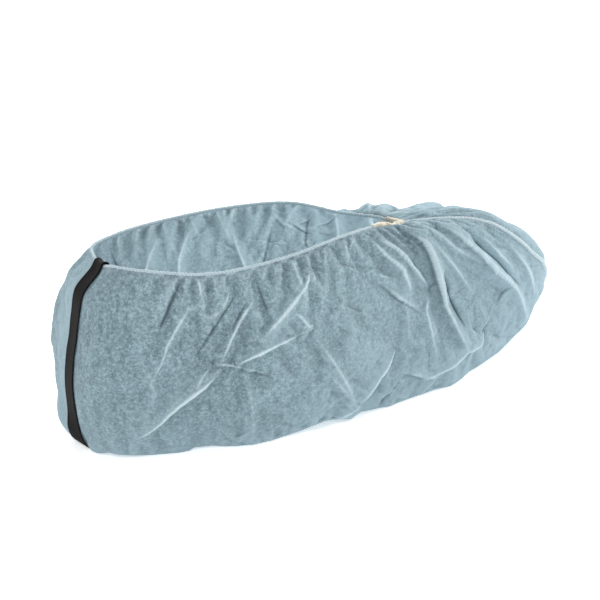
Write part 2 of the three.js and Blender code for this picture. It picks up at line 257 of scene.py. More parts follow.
def tube(name: str, path: np.ndarray, radius: float, sides: int, closed: bool) -> bpy.types.Object:
    """Make a round bar along a path.

    Args:
        name: the piece's name.
        path: points along its middle.
        radius: the bar's radius.
        sides: points round the bar.
        closed: whether the path is a closed loop.

    Returns:
        The new object.
    """
    if closed:
        ahead = unit(np.roll(path, -1, 0) - np.roll(path, 1, 0))
    else:
        ahead = unit(np.gradient(path, axis=0))
    guide = np.where(np.abs(ahead[:, 2:]) < 0.9, UP, np.array([1.0, 0, 0]))
    across = unit(np.cross(ahead, guide))
    ring = turned(circle(sides)[None, :], across[:, None], np.cross(across, ahead)[:, None])
    return mesh_piece(name, path[:, None] + radius * ring, ring_faces(len(path), sides, closed))


# The form of the cover, with the sizes of its CAD source


@dataclass(frozen=True)
class LoopCurve:
    """A smooth closed curve through values set round the cover."""

    shares: tuple[float, ...]
    values: tuple[float, ...]

    def at(self, share: np.ndarray) -> np.ndarray:
        """Values at shares of the loop.

        Args:
            share: shares of the loop, 0 at the heel and 0.5 at the toe.

        Returns:
            A value for each share.
        """
        u, v = np.array(self.shares), np.array(self.values)
        share = np.asarray(share) % 1.0
        h = np.diff(np.append(u, u[0] + 1))
        rise = np.diff(np.append(v, v[0])) / h
        slope = (h * np.roll(rise, 1) + np.roll(h, 1) * rise) / (h + np.roll(h, 1))
        k = np.clip(np.searchsorted(u, share, side="right") - 1, 0, len(u) - 1)
        n = (k + 1) % len(u)
        t = (share - u[k]) / h[k]
        rest = 1 - t
        near = rest * rest * (v[k] * (1 + 2 * t) + t * h[k] * slope[k])
        return near + t * t * (v[n] * (1 + 2 * rest) - rest * h[k] * slope[n])


def loop_curve(
    at: tuple[float, ...],
    outer: tuple[float, ...],
    inner: tuple[float, ...] | None = None,
    sides: tuple[int, int] = (1, 1),
) -> LoopCurve:
    """Join an outer and an inner column, both from heel to toe, into one loop.

    Args:
        at: places from the heel (0) to the toe (1).
        outer: values on the outer side.
        inner: values on the inner side, or None where both sides are alike.
        sides: factors that give the outer and the inner side their direction.

    Returns:
        The closed curve.
    """
    inner = outer if inner is None else inner
    shares = [a / 2 for a in at] + [1 - a / 2 for a in at[-2:0:-1]]
    values = [sides[0] * v for v in outer] + [sides[1] * v for v in inner[-2:0:-1]]
    return LoopCurve(tuple(shares), tuple(values))


@dataclass
class CoverForm:
    """The smooth wall between the edge of the tread and the rim."""

    # The sizes of the CAD source, in metres
    tread_length: float = 0.288
    tread_half: float = 0.050
    toe_spring: float = 0.009
    opening_length: float = 0.184
    opening_half: float = 0.040
    rim_setback: float = 0.017
    heel_height: float = 0.1045
    cloth: float = 0.0012
    swell: float = 0.020
    lift: float = 0.040
    lean: float = 0.020
    drop: float = 0.036
    gap: float = 0.0003
    elastic_width: float = 0.0024
    elastic_height: float = 0.0028
    seam_ups: tuple[float, ...] = (0, 0.25, 0.5, 0.66, 0.8, 0.93, 1)
    seam_shares: tuple[float, ...] = (0.5, 0.492, 0.479, 0.478, 0.483, 0.484, 0.497)
    # Where the worn cloth leaves that form: over and under the rim at the heel, and at the toe
    shoulder: float = 4.2 * MM
    heel_dip: float = 2.6 * MM
    heel_bag: float = 5.6 * MM
    toe_sink: float = 3.8 * MM
    tip_share: float = 0.7
    wander_height: float = 0.34
    # How the worn lower edge wanders, set from how far the outline was off when
    # measured: share of the loop, mm out, mm up
    edge_wander: tuple[tuple[float, float, float], ...] = (
        (0.030, 0, 0), (0.045, 0, 2.8), (0.066, 0, 1.7), (0.085, 0, 0), (0.105, 1.8, 0),
        (0.116, 1.0, 0), (0.122, 0, 1.2), (0.145, 0, 1.5), (0.165, 0, 0), (0.192, 2.0, 0),
        (0.212, 1.0, 0), (0.228, 0, 1.0), (0.242, 0, 2.0), (0.260, 0, 3.8), (0.272, 0, 3.2),
        (0.281, 0.5, 0.2), (0.290, 0, 1.8), (0.299, 0.5, 0.4), (0.311, 3.6, 0), (0.330, 3.2, 0),
        (0.360, 2.8, 0), (0.374, 4.6, 0), (0.388, 3.0, 0), (0.401, 0, 0), (0.472, 0, 0),
        (0.488, -2.6, 0), (0.504, -2.0, 0), (0.530, 0, 0), (1, 0, 0),
    )
    origin: tuple[float, float, float] = (0.146200, -0.004062, 0.0)
    curves: dict[str, LoopCurve] = field(init=False)

    def __post_init__(self) -> None:
        """Lay out the curves round the cover; each row runs from the heel to the toe."""
        # Rounded from a fit of the form and the camera to the outlines, then adjusted
        at = (0, 0.10, 0.22, 0.36, 0.50, 0.64, 0.77, 0.89, 1)
        tread = (0, 0.035, 0.160, 0.265, 0.410, 0.605, 0.755, 0.905, 1)
        tread_outer = (0, 0.53, 0.75, 0.91, 1.02, 0.86, 0.71, 0.36, -0.06)
        tread_inner = (0, 0.64, 0.76, 0.68, 0.70, 0.84, 0.92, 0.70, 0.06)
        rim = (0, 0.015, 0.110, 0.275, 0.495, 0.700, 0.845, 0.950, 1)
        rim_outer = (0, 0.47, 0.77, 0.98, 1.00, 0.89, 0.65, 0.36, 0)
        rim_inner = (0, 0.48, 0.74, 0.92, 0.94, 0.80, 0.54, 0.25, 0)
        high_outer = (1, 1.030, 1.010, 0.970, 0.975, 1.005, 0.980, 0.900, 0.845)
        high_inner = (1, 0.990, 0.985, 0.975, 0.970, 0.950, 0.890, 0.870, 0.845)
        spring = (0, 0, 0, 0, 0, 0.04, 0.24, 0.67, 1)
        swell = (0.50, 0.86, 0.84, 0.73, 0.73, 0.62, 0.56, 0.66, 1.08)
        lift = (0.92, 0.93, 0.86, 0.71, 0.69, 0.78, 0.81, 0.94, 1.07)
        reach = (0, 0.06, 0.04, 0.10, 0.20, 0.30, 0.50, 0.88, 1.10)
        lean = (0.99, 1.20, 0.80, 0.62, 0.60, 0.40, 0.23, 0.28, 0.35)
        drop = (0.70, 0.78, 0.94, 0.99, 0.89, 0.67, 0.36, 0.06, 0.05)
        self.curves = {
            "tread_x": loop_curve(at, tread),
            "tread_y": loop_curve(at, tread_outer, tread_inner, (-1, 1)),
            "rim_x": loop_curve(at, rim),
            "rim_y": loop_curve(at, rim_outer, rim_inner, (-1, 1)),
            "rim_z": loop_curve(at, high_outer, high_inner),
            "spring": loop_curve(at, spring),
            "swell": loop_curve(at, swell),
            "lift": loop_curve(at, lift),
            "reach": loop_curve(at, reach),
            "lean": loop_curve(at, lean),
            "drop": loop_curve(at, drop),
        }

    def value(self, name: str, share: np.ndarray) -> np.ndarray:
        """One of the curves at shares of the loop."""
        return self.curves[name].at(share)

    def tread_edge(self, share: np.ndarray) -> np.ndarray:
        """Points on the edge of the tread.

        Args:
            share: shares of the loop, 0 at the heel and 0.5 at the toe.

        Returns:
            Points, with one more axis for x, y and z.
        """
        x = self.value("tread_x", share) * self.tread_length
        y = self.value("tread_y", share) * self.tread_half
        z = np.maximum(0, self.value("spring", share)) * self.toe_spring
        return np.stack([x, y, z], -1) - np.array(self.origin)

    def rim_edge(self, share: np.ndarray) -> np.ndarray:
        """Points on the edge of the opening.

        Args:
            share: shares of the loop, 0 at the heel and 0.5 at the toe.

        Returns:
            Points, with one more axis for x, y and z.
        """
        x = self.rim_setback + self.value("rim_x", share) * self.opening_length
        y = self.value("rim_y", share) * self.opening_half
        dip = hump(past_heel(share, 0.003), 0, 0.030)
        z = self.value("rim_z", share) * self.heel_height - self.heel_dip * dip
        return np.stack([x, y, z], -1) - np.array(self.origin)

    def outward(self, share: np.ndarray) -> np.ndarray:
        """Level directions away from the edge of the tread.

        Args:
            share: shares of the loop, 0 at the heel and 0.5 at the toe.

        Returns:
            A direction of length one for each share.
        """
        share = np.asarray(share)
        step = self.tread_edge(share + STEP) - self.tread_edge(share - STEP)
        step[..., 2] = 0
        return unit(np.cross(unit(step), UP))

    def wall(self, share: np.ndarray, up: np.ndarray) -> np.ndarray:
        """The wall before folding.

        Args:
            share: shares of the loop, 0 at the heel and 0.5 at the toe.
            up: heights from 0 at the tread to 1 at the rim, of the same shape.

        Returns:
            Points, with one more axis for x, y and z.
        """
        share = np.asarray(share, float)
        base, rim, out = self.tread_edge(share), self.rim_edge(share), self.outward(share)
        inward = (base - rim) * np.array([1, 1, 0])
        swell, lift, reach, lean, drop = (
            self.value(name, share)[..., None] for name in ("swell", "lift", "reach", "lean", "drop")
        )
        low = base + out * swell * self.swell + UP * lift * self.lift
        high = rim + inward * reach + out * lean * self.lean - UP * drop * self.drop
        t = np.asarray(up, float)[..., None]
        s = 1 - t
        smooth = s**3 * base + 3 * s * s * t * low + 3 * s * t * t * high + t**3 * rim
        return smooth + out * self.heel_shoulder(share, up)[..., None] + self.stray(share, up, out)

    def stray(self, share: np.ndarray, up: np.ndarray, out: np.ndarray) -> np.ndarray:
        """How the worn cloth strays from the form: its lower edge wanders and its toe sinks.

        Args:
            share: shares of the loop.
            up: heights from 0 at the tread to 1 at the rim.
            out: level directions away from the tread.

        Returns:
            Offsets, with one more axis for x, y and z.
        """
        place, up = share % 1.0, np.asarray(up, float)
        shares, outs, lifts = np.array(self.edge_wander).T
        beside, above = np.interp(place, shares, outs), np.interp(place, shares, lifts)
        fade = MM * (1 - smoothstep(0, self.wander_height, up))
        # The whole toe sinks by its spring at most, and its blunt end a little more
        toe = smoothstep(0.33, 0.38, place) * (1 - smoothstep(0.52, 0.60, place))
        toe = toe * (1 - smoothstep(0.45, 0.95, up))
        spring = np.maximum(0, self.value("spring", share)) * self.toe_spring
        tip = np.exp(-(((place - 0.498) / 0.028) ** 2) - ((up - 0.52) / 0.17) ** 2)
        rise = above * fade - toe * np.minimum(self.toe_sink, spring) - self.tip_share * self.toe_sink * tip
        return out * (beside * fade)[..., None] + UP * rise[..., None]

    def heel_shoulder(self, share: np.ndarray, up: np.ndarray) -> np.ndarray:
        """How far the cloth stands over the tight rim at the heel and bags out low on it.

        Args:
            share: shares of the loop.
            up: heights from 0 at the tread to 1 at the rim.

        Returns:
            Offsets outwards.
        """
        up = np.asarray(up)
        near = hump(past_heel(share, 0), 0, 0.045)
        over = hump(up, 0.87, 0.14) - 0.25 * hump(up, 0.52, 0.16)
        bag = hump(past_heel(share, -0.018), 0, 0.024) * hump(up, 0.07, 0.085)
        return self.shoulder * near * over * smoothstep(0, 0.14, 1 - up) + self.heel_bag * bag

    def seam_share(self, up: np.ndarray) -> np.ndarray:
        """Share of the loop at which the front seam runs, at heights.

        Args:
            up: heights from 0 at the tread to 1 at the rim.

        Returns:
            A share for each height.
        """
        fine = np.linspace(0, 1, 201)
        shares = np.pad(np.interp(fine, self.seam_ups, self.seam_shares), 6, mode="edge")
        return np.interp(up, fine, np.convolve(shares, np.full(13, 1 / 13), "valid"))

    def normal(self, share: np.ndarray, up: np.ndarray) -> np.ndarray:
        """Outward normals of the wall before folding.

        Args:
            share: shares of the loop, 0 at the heel and 0.5 at the toe.
            up: heights from 0 at the tread to 1 at the rim.

        Returns:
            A direction of length one for each place.
        """
        share, up = np.asarray(share, float), np.asarray(up, float)
        below, above = np.maximum(0, up - STEP), np.minimum(1, up + STEP)
        along = self.wall(share + STEP, up) - self.wall(share - STEP, up)
        return unit(np.cross(along, self.wall(share, above) - self.wall(share, below)))

    def rim_frame(self, share: np.ndarray) -> tuple[np.ndarray, np.ndarray, np.ndarray]:
        """The middle of the elastic, the way past the rim and the way out of it.

        Args:
            share: shares of the loop, 0 at the heel and 0.5 at the toe.

        Returns:
            Points, and two directions of length one for each of them.
        """
        share = np.asarray(share, float)
        top = np.ones_like(share)
        out = self.normal(share, top)
        past = unit(self.rim_edge(share) - self.wall(share, top - STEP))
        edge = self.rim_edge(share) - out * self.cloth / 2
        return edge + past * (self.gap + self.elastic_height / 2), past, out

    def even_shares(self, count: int, up: float) -> np.ndarray:
        """Shares of the loop from 0 to 1 that lie evenly along it at a height.

        Args:
            count: how many steps, an even number.
            up: the height from 0 to 1 to measure at.

        Returns:
            One share more than there are steps, with 0.5 in the middle.
        """
        fine = np.linspace(0, 1, 4001)
        run = arc_length(self.wall(fine, np.full_like(fine, up)), 0)
        half = np.interp(0.5, fine, run)
        first = np.interp(np.linspace(0, half, count // 2 + 1), run, fine)
        second = np.interp(np.linspace(half, run[-1], count // 2 + 1)[1:], run, fine)
        shares = np.concatenate([first, second])
        shares[count // 2] = 0.5
        return shares


# Creases, gathers and crumple of the cloth


@dataclass(frozen=True)
class Crease:
    """A fold along a line on the wall.

    path is a list of (share of the loop, height) from its start to its end. rise is
    negative for a valley. left and right are the widths of its two flanks as seen from
    outside, walking along it; a narrow flank is steep and takes the shadow. All in mm.
    """

    path: tuple[tuple[float, float], ...]
    rise: float
    left: float
    right: float


# Outer side, from heel to toe. The lines were picked, and their places on the form
# were read off through the fitted camera; rises and widths are given
OUTER_CREASES = (
    Crease(((0.068, 0.12), (0.098, 0.30), (0.137, 0.43), (0.172, 0.53)), 3.4, 10.0, 2.0),
    Crease(((0.186, 0.55), (0.204, 0.59), (0.221, 0.62), (0.262, 0.64)), 3.0, 7.0, 2.0),
    Crease(((0.134, 0.44), (0.146, 0.51), (0.162, 0.57)), 1.2, 4.0, 3.0),
    Crease(((0.162, 0.57), (0.176, 0.56), (0.192, 0.53)), 1.3, 2.5, 1.6),
    Crease(((0.152, 0.89), (0.141, 0.82), (0.112, 0.66), (0.084, 0.47), (0.089, 0.36)), 1.0, 2.5, 3.0),
    Crease(((0.141, 0.97), (0.130, 0.89), (0.119, 0.81), (0.105, 0.73)), -2.0, 3.5, 1.6),
    Crease(((0.203, 0.92), (0.179, 0.79), (0.166, 0.72), (0.144, 0.60)), -2.0, 4.0, 2.0),
    Crease(((0.215, 0.87), (0.198, 0.77), (0.187, 0.70), (0.172, 0.58)), 1.8, 1.8, 3.5),
    Crease(((0.208, 0.86), (0.198, 0.79), (0.187, 0.72)), -1.0, 2.0, 1.5),
    Crease(((0.198, 0.97), (0.190, 0.90), (0.183, 0.84)), 0.9, 2.0, 2.0),
    Crease(((0.271, 0.93), (0.264, 0.87), (0.236, 0.76), (0.209, 0.65)), 3.2, 5.0, 6.0),
    Crease(((0.220, 0.93), (0.223, 0.85), (0.224, 0.78)), -1.0, 2.0, 2.0),
    Crease(((0.245, 0.75), (0.251, 0.71), (0.255, 0.66), (0.262, 0.64)), 1.5, 1.8, 1.5),
    Crease(((0.258, 0.62), (0.269, 0.40), (0.283, 0.09)), 1.1, 2.2, 2.6),
    Crease(((0.258, 0.44), (0.281, 0.14)), 0.7, 2.0, 2.0),
    Crease(((0.281, 0.08), (0.301, 0.25), (0.323, 0.34)), 3.6, 8.0, 1.8),
    Crease(((0.301, -0.05), (0.306, 0.06), (0.318, 0.13), (0.334, 0.20)), -1.9, 4.0, 7.0),
    Crease(((0.268, -0.04), (0.276, 0.06), (0.284, 0.12)), 2.4, 5.0, 5.0),
    Crease(((0.196, 0.50), (0.191, 0.05)), 1.0, 4.0, 5.0),
    Crease(((0.401, 0.93), (0.400, 0.80), (0.388, 0.60), (0.383, 0.46), (0.390, 0.18)), 5.4, 9.0, 1.8),
    Crease(((0.397, 0.62), (0.392, 0.48), (0.395, 0.30)), -2.4, 1.5, 5.0),
    Crease(((0.402, 0.84), (0.406, 0.70), (0.409, 0.53), (0.412, 0.44)), 1.8, 3.5, 2.5),
    Crease(((0.415, 0.93), (0.418, 0.80), (0.420, 0.69), (0.430, 0.56)), 2.0, 2.5, 3.0),
    Crease(((0.436, 0.86), (0.431, 0.72), (0.434, 0.51), (0.446, 0.35), (0.466, 0.08)), 4.6, 6.0, 3.0),
    Crease(((0.447, 0.78), (0.442, 0.62), (0.446, 0.46), (0.455, 0.34)), -2.4, 1.6, 3.0),
    Crease(((0.452, 0.70), (0.449, 0.56), (0.454, 0.44)), 1.6, 1.5, 3.0),
    Crease(((0.466, 0.62), (0.465, 0.49), (0.466, 0.37), (0.470, 0.22)), 2.0, 3.5, 2.5),
    Crease(((0.412, 0.42), (0.417, 0.24)), 0.8, 3.0, 3.0),
    Crease(((0.349, 0.97), (0.353, 0.81), (0.359, 0.71), (0.356, 0.56)), 3.0, 4.0, 2.5),
    Crease(((0.356, 0.93), (0.366, 0.82), (0.371, 0.68), (0.378, 0.56)), 3.4, 3.5, 1.8),
    Crease(((0.371, 0.91), (0.374, 0.75), (0.381, 0.61)), -1.2, 1.5, 2.5),
    Crease(((0.376, 0.55), (0.364, 0.47), (0.361, 0.38), (0.359, 0.16)), 1.2, 2.5, 2.0),
    Crease(((0.347, 0.57), (0.344, 0.47), (0.337, 0.36)), 0.8, 4.0, 4.0),
    Crease(((0.331, 0.74), (0.338, 0.71), (0.351, 0.66)), 0.9, 2.0, 1.4),
    Crease(
        ((0.414, 0.22), (0.405, 0.17), (0.389, 0.18), (0.366, 0.14), (0.346, 0.12), (0.318, 0.23)),
        2.6, 2.0, 7.0,
    ),
    Crease(((0.341, 0.00), (0.350, 0.06), (0.358, 0.10)), 1.2, 3.0, 1.5),
    Crease(((0.040, 0.20), (0.036, 0.52), (0.048, 0.80)), 0.6, 5.0, 5.0),
    Crease(((0.500, 0.76), (0.4975, 0.86), (0.496, 0.94)), -1.2, 2.0, 2.0),
    Crease(((0.045, 0.05), (0.058, 0.16)), 0.7, 3.0, 2.0),
)

# Toe's inner half and inner side, in the same manner as the outer side
INNER_CREASES = (
    Crease(((0.512, 0.80), (0.520, 0.62), (0.524, 0.38), (0.520, 0.20)), 1.6, 3.0, 2.2),
    Crease(((0.545, 0.90), (0.548, 0.70), (0.552, 0.56)), 3.0, 6.0, 3.0),
    Crease(((0.552, 0.56), (0.540, 0.36), (0.532, 0.14)), 1.8, 3.0, 4.0),
    Crease(((0.566, 0.90), (0.572, 0.72), (0.580, 0.50)), -1.8, 2.0, 3.5),
    Crease(((0.590, 0.92), (0.604, 0.66), (0.612, 0.24)), 2.6, 5.0, 2.0),
    Crease(((0.612, 0.24), (0.630, 0.16), (0.662, 0.20)), 1.6, 1.8, 4.0),
    Crease(((0.628, 0.94), (0.636, 0.70), (0.647, 0.40)), 1.8, 2.2, 4.0),
    Crease(((0.660, 0.92), (0.676, 0.64), (0.668, 0.44)), -1.5, 3.5, 1.6),
    Crease(((0.700, 0.86), (0.716, 0.60), (0.722, 0.38)), -1.6, 1.6, 3.5),
    Crease(((0.742, 0.86), (0.728, 0.48), (0.716, 0.12)), 2.2, 2.0, 6.0),
    Crease(((0.716, 0.12), (0.742, 0.10), (0.770, 0.20)), 1.5, 5.0, 1.8),
    Crease(((0.780, 0.92), (0.796, 0.72), (0.800, 0.56)), 1.6, 2.5, 2.5),
    Crease(((0.818, 0.88), (0.842, 0.66), (0.862, 0.50)), 1.9, 2.0, 5.0),
    Crease(((0.922, 0.16), (0.880, 0.34), (0.842, 0.48), (0.806, 0.56)), 2.3, 1.8, 7.0),
    Crease(((0.806, 0.56), (0.770, 0.60), (0.742, 0.56)), 1.8, 1.8, 5.0),
    Crease(((0.890, 0.90), (0.880, 0.76), (0.872, 0.66)), -1.2, 2.0, 2.0),
    Crease(((0.905, 0.84), (0.922, 0.62), (0.936, 0.40)), -1.1, 1.6, 3.0),
    Crease(((0.955, 0.78), (0.960, 0.50), (0.950, 0.22)), 0.9, 4.0, 5.0),
    Crease(((0.985, 0.33), (0.966, 0.35), (0.940, 0.42)), -1.8, 4.0, 2.5),
)


@dataclass
class ClothGrid:
    """The wall laid out as rows and columns, with the lengths the relief is set by."""

    form: CoverForm
    columns: int = 1000
    rows: int = 188

    def __post_init__(self) -> None:
        """Work out the points, normals and lengths."""
        self.shares = self.form.even_shares(self.columns, 0.45)
        self.ups = np.linspace(0, 1, self.rows + 1)
        up, share = np.meshgrid(self.ups, self.shares, indexing="ij")
        aside = (self.form.seam_share(up) - 0.5) * smoothstep(0.16, 0.0, np.abs(share - 0.5))
        self.share, self.up = share + aside, up
        self.points = self.form.wall(self.share, up)
        self.normals = self.form.normal(self.share, up)
        rising = arc_length(self.points, 0)
        self.above_tread = rising
        self.below_rim = rising[-1:] - rising
        self.along_rim = arc_length(self.points[-1:], 1)[0]
        self.along = arc_length(self.points[self.rows // 2 :][:1], 1)[0]

    def window(self, path: np.ndarray, share_margin: float, up_margin: float) -> tuple[slice, slice]:
        """The rows and columns round a path.

        Args:
            path: (share, height) along a line.
            share_margin: how much wider the window is, each way.
            up_margin: how much taller it is, each way.

        Returns:
            Two slices, of rows and of columns.
        """
        lo, hi = path.min(0), path.max(0)
        j = np.searchsorted(self.shares, [lo[0] - share_margin, hi[0] + share_margin])
        i = np.searchsorted(self.ups, [lo[1] - up_margin, hi[1] + up_margin])
        return slice(i[0], i[1] + 1), slice(j[0], j[1] + 1)


@dataclass
class ClothRelief:
    """How far the cloth stands off the smooth wall, in metres."""

    grid: ClothGrid
    seed: int = 20
    crest: float = 0.28 * MM  # how rounded the top of a fold is
    pucker_pitch: float = 5.6 * MM
    pucker_rise: float = 0.9 * MM
    pucker_reach: tuple[float, float] = (10, 24)  # mm
    pucker_width: tuple[float, float] = (0.9, 1.9)  # mm
    pucker_lean: tuple[float, float] = (0.10, 0.30)  # towards the heel, and how much it varies
    facet_sizes: tuple[float, float] = (25 * MM, 11 * MM)
    facet_rises: tuple[float, float] = (1.0 * MM, 0.38 * MM)
    after_share: float = 0.35  # of each crease that is laid on again after settling
    puff_inner: float = 3.4 * MM
    puff_outer: float = 1.0 * MM
    puff_reach: float = 11 * MM
    pucker_drop: float = 14 * MM
    pucker_window: float = 22 * MM
    bunch_length: float = 14 * MM
    ribbon_hold: tuple[float, float] = (8 * MM, 17 * MM)
    seam_hold: tuple[float, float] = (1.5 * MM, 6 * MM)
    fold_window: tuple[float, float] = (0.06, 0.30)  # share of the loop and height round a crease

    # How full the gathers are by share of the loop: few at the heel, most at the throat
    FULLNESS: ClassVar[tuple] = (
        (0.00, 0.08, 0.12, 0.18, 0.30, 0.42, 0.47, 0.5, 0.53, 0.58, 0.68, 0.82, 0.89, 0.94, 1.00),
        (0.05, 0.15, 0.45, 0.70, 1.00, 1.00, 0.80, 0.5, 0.80, 1.00, 1.00, 0.80, 0.60, 0.30, 0.05),
    )

    def crease(self, heights: np.ndarray, fold: Crease) -> None:
        """Add one crease to the heights.

        Args:
            heights: the grid of heights, changed in place.
            fold: the crease.
        """
        path = np.array(fold.path)
        knots = np.linspace(0, 1, len(path))
        fine = np.linspace(0, 1, 4 * len(path) + 1)
        share, up = np.interp(fine, knots, path[:, 0]), np.interp(fine, knots, path[:, 1])
        rows, columns = self.grid.window(path, *self.fold_window)
        points, normals = self.grid.points[rows, columns], self.grid.normals[rows, columns]
        line = self.grid.form.wall(share, up)
        best = np.full(points.shape[:2], np.inf)
        side, run = np.zeros_like(best), np.zeros_like(best)
        for k in range(len(line) - 1):
            step = line[k + 1] - line[k]
            t = np.clip(((points - line[k]) @ step) / (step @ step), 0, 1)
            off = points - (line[k] + t[..., None] * step)
            distance = np.linalg.norm(off, axis=-1)
            near = distance < best
            best = np.where(near, distance, best)
            side = np.where(near, np.einsum("ijk,ijk->ij", off, np.cross(step, normals)), side)
            run = np.where(near, (k + t) / (len(line) - 1), run)
        width = np.where(side > 0, fold.right, fold.left) * MM
        reach = (np.sqrt(best**2 + self.crest**2) - self.crest) / width
        ends = np.sin(np.pi * np.clip(run, 0, 1)) ** 0.8
        heights[rows, columns] += fold.rise * MM * ends * np.exp(-reach)

    def facets(self, size: float, rise: float, rng: np.random.Generator) -> np.ndarray:
        """Heights of a crumpled sheet: flat facets between random corners.

        Args:
            size: mean size of a facet.
            rise: how far the corners stand up or down.
            rng: the random numbers.

        Returns:
            A grid of heights.
        """
        grid = self.grid
        tall = grid.above_tread[-1].mean()
        cell = (size / tall * grid.rows, size / grid.along[-1] * grid.columns)
        ny, nx = int(grid.rows / cell[0]) + 3, int(grid.columns / cell[1]) + 3
        y, x = np.meshgrid(np.arange(ny) - 1.0, np.arange(nx) - 1.0, indexing="ij")
        x = x + 0.5 * (np.arange(ny)[:, None] % 2)
        y = (y + rng.uniform(-0.36, 0.36, y.shape)) * cell[0]
        x = (x + rng.uniform(-0.36, 0.36, x.shape)) * cell[1]
        z = rng.normal(0, rise, x.shape)
        out = np.zeros(grid.up.shape)
        for i in range(ny - 1):
            for j in range(nx - 1):
                corners = [(i, j), (i, j + 1), (i + 1, j), (i + 1, j + 1)]
                first = (0, 1, 2), (1, 3, 2)
                second = (0, 1, 3), (0, 3, 2)
                for pick in first if i % 2 else second:
                    a, b, c = (np.array([x[corners[k]], y[corners[k]], z[corners[k]]]) for k in pick)
                    self.lay_facet(out, a, b, c)
        return out

    @staticmethod
    def lay_facet(out: np.ndarray, a: np.ndarray, b: np.ndarray, c: np.ndarray) -> None:
        """Write one flat facet, with corners as column, row and height, into a grid.

        Args:
            out: the grid of heights, changed in place.
            a: the first corner.
            b: the second corner.
            c: the third corner.
        """
        lo, hi = np.minimum(np.minimum(a, b), c), np.maximum(np.maximum(a, b), c)
        j0, j1 = max(0, math.ceil(lo[0])), min(out.shape[1] - 1, math.floor(hi[0]))
        i0, i1 = max(0, math.ceil(lo[1])), min(out.shape[0] - 1, math.floor(hi[1]))
        if j1 < j0 or i1 < i0:
            return
        area = (b[0] - a[0]) * (c[1] - a[1]) - (c[0] - a[0]) * (b[1] - a[1])
        if abs(area) < 1e-9:
            return
        i, j = np.mgrid[i0 : i1 + 1, j0 : j1 + 1]
        u = ((j - a[0]) * (c[1] - a[1]) - (c[0] - a[0]) * (i - a[1])) / area
        v = ((b[0] - a[0]) * (i - a[1]) - (j - a[0]) * (b[1] - a[1])) / area
        inside = (u >= -1e-6) & (v >= -1e-6) & (u + v <= 1 + 1e-6)
        height = a[2] + u * (b[2] - a[2]) + v * (c[2] - a[2])
        out[i0 : i1 + 1, j0 : j1 + 1] = np.where(inside, height, out[i0 : i1 + 1, j0 : j1 + 1])

    def puckers(self, rng: np.random.Generator) -> np.ndarray:
        """Heights of the small gathers that hang from the elastic.

        Args:
            rng: the random numbers.

        Returns:
            A grid of heights.
        """
        grid = self.grid
        length = grid.along_rim[-1]
        out = np.zeros(grid.up.shape)
        place = 0.0
        while place < length:
            share = np.interp(place, grid.along_rim, grid.shares)
            full = float(np.interp(share, *self.FULLNESS))
            reach = rng.uniform(*self.pucker_reach) * MM * (0.6 + 0.6 * full)
            rise = self.pucker_rise * full * rng.uniform(0.5, 1.3)
            mean, vary = self.pucker_lean
            lean = rng.normal(-mean if share < 0.5 else mean, vary)
            width = rng.uniform(*self.pucker_width) * MM
            ends = [place - self.pucker_window, place + self.pucker_window]
            j0, j1 = np.searchsorted(grid.along_rim, ends)
            below = grid.below_rim[:, j0:j1]
            depth = below / (0.38 * reach)
            across = grid.along_rim[None, j0:j1] - place - lean * below
            spread = width * (1 + below / self.pucker_drop)
            profile = np.exp(-(np.sqrt(across**2 + self.crest**2) - self.crest) / spread)
            out[:, j0:j1] += rise * depth * np.exp(1 - depth) * profile
            place += self.pucker_pitch * rng.uniform(0.45, 1.7)
        return out * self.bunches()

    def bunches(self) -> np.ndarray:
        """How the gathers bunch up here and lie flat there along the rim.

        Returns:
            A factor for each column.
        """
        grid = self.grid
        rng = np.random.default_rng(self.seed + 3)
        knots = np.arange(0, grid.along_rim[-1] + self.bunch_length, self.bunch_length)
        dense = np.interp(grid.along_rim, knots, rng.uniform(0.25, 1.5, len(knots)))
        return np.clip(dense, 0.25, 1.4)[None, :]

    def from_seam(self) -> np.ndarray:
        """Distance along each row from the seam, negative on the outer side.

        Returns:
            A grid of lengths.
        """
        middle = self.grid.columns // 2
        run = arc_length(self.grid.points, 1)
        return run - run[:, middle : middle + 1]

    def free(self) -> np.ndarray:
        """How free the cloth is to leave the smooth wall; the ribbon and the seam hold it.

        Returns:
            A grid of numbers from 0, held, to 1, free.
        """
        grid = self.grid
        heel = np.minimum(grid.along, grid.along[-1] - grid.along)
        seam = np.abs(self.from_seam())
        return smoothstep(*self.ribbon_hold, heel)[None, :] * smoothstep(*self.seam_hold, seam)

    def beside_seam(self) -> np.ndarray:
        """How the cloth puffs up on both sides of the seam, more on the inner side.

        Returns:
            A grid of heights.
        """
        off = self.from_seam()
        side = np.where(off > 0, self.puff_inner, self.puff_outer)
        far = np.abs(off) / self.puff_reach
        return side * far * np.exp(1 - far) * smoothstep(0.66, 0.82, self.grid.up)

    def layers(self) -> tuple[np.ndarray, np.ndarray]:
        """The relief that the cloth settles from, and the fine relief laid on it after.

        Returns:
            Two grids of heights.
        """
        grid = self.grid
        rng = np.random.default_rng(self.seed)
        sheets = zip(self.facet_sizes, self.facet_rises)
        broad, fine = (self.facets(size, rise, rng) for size, rise in sheets)
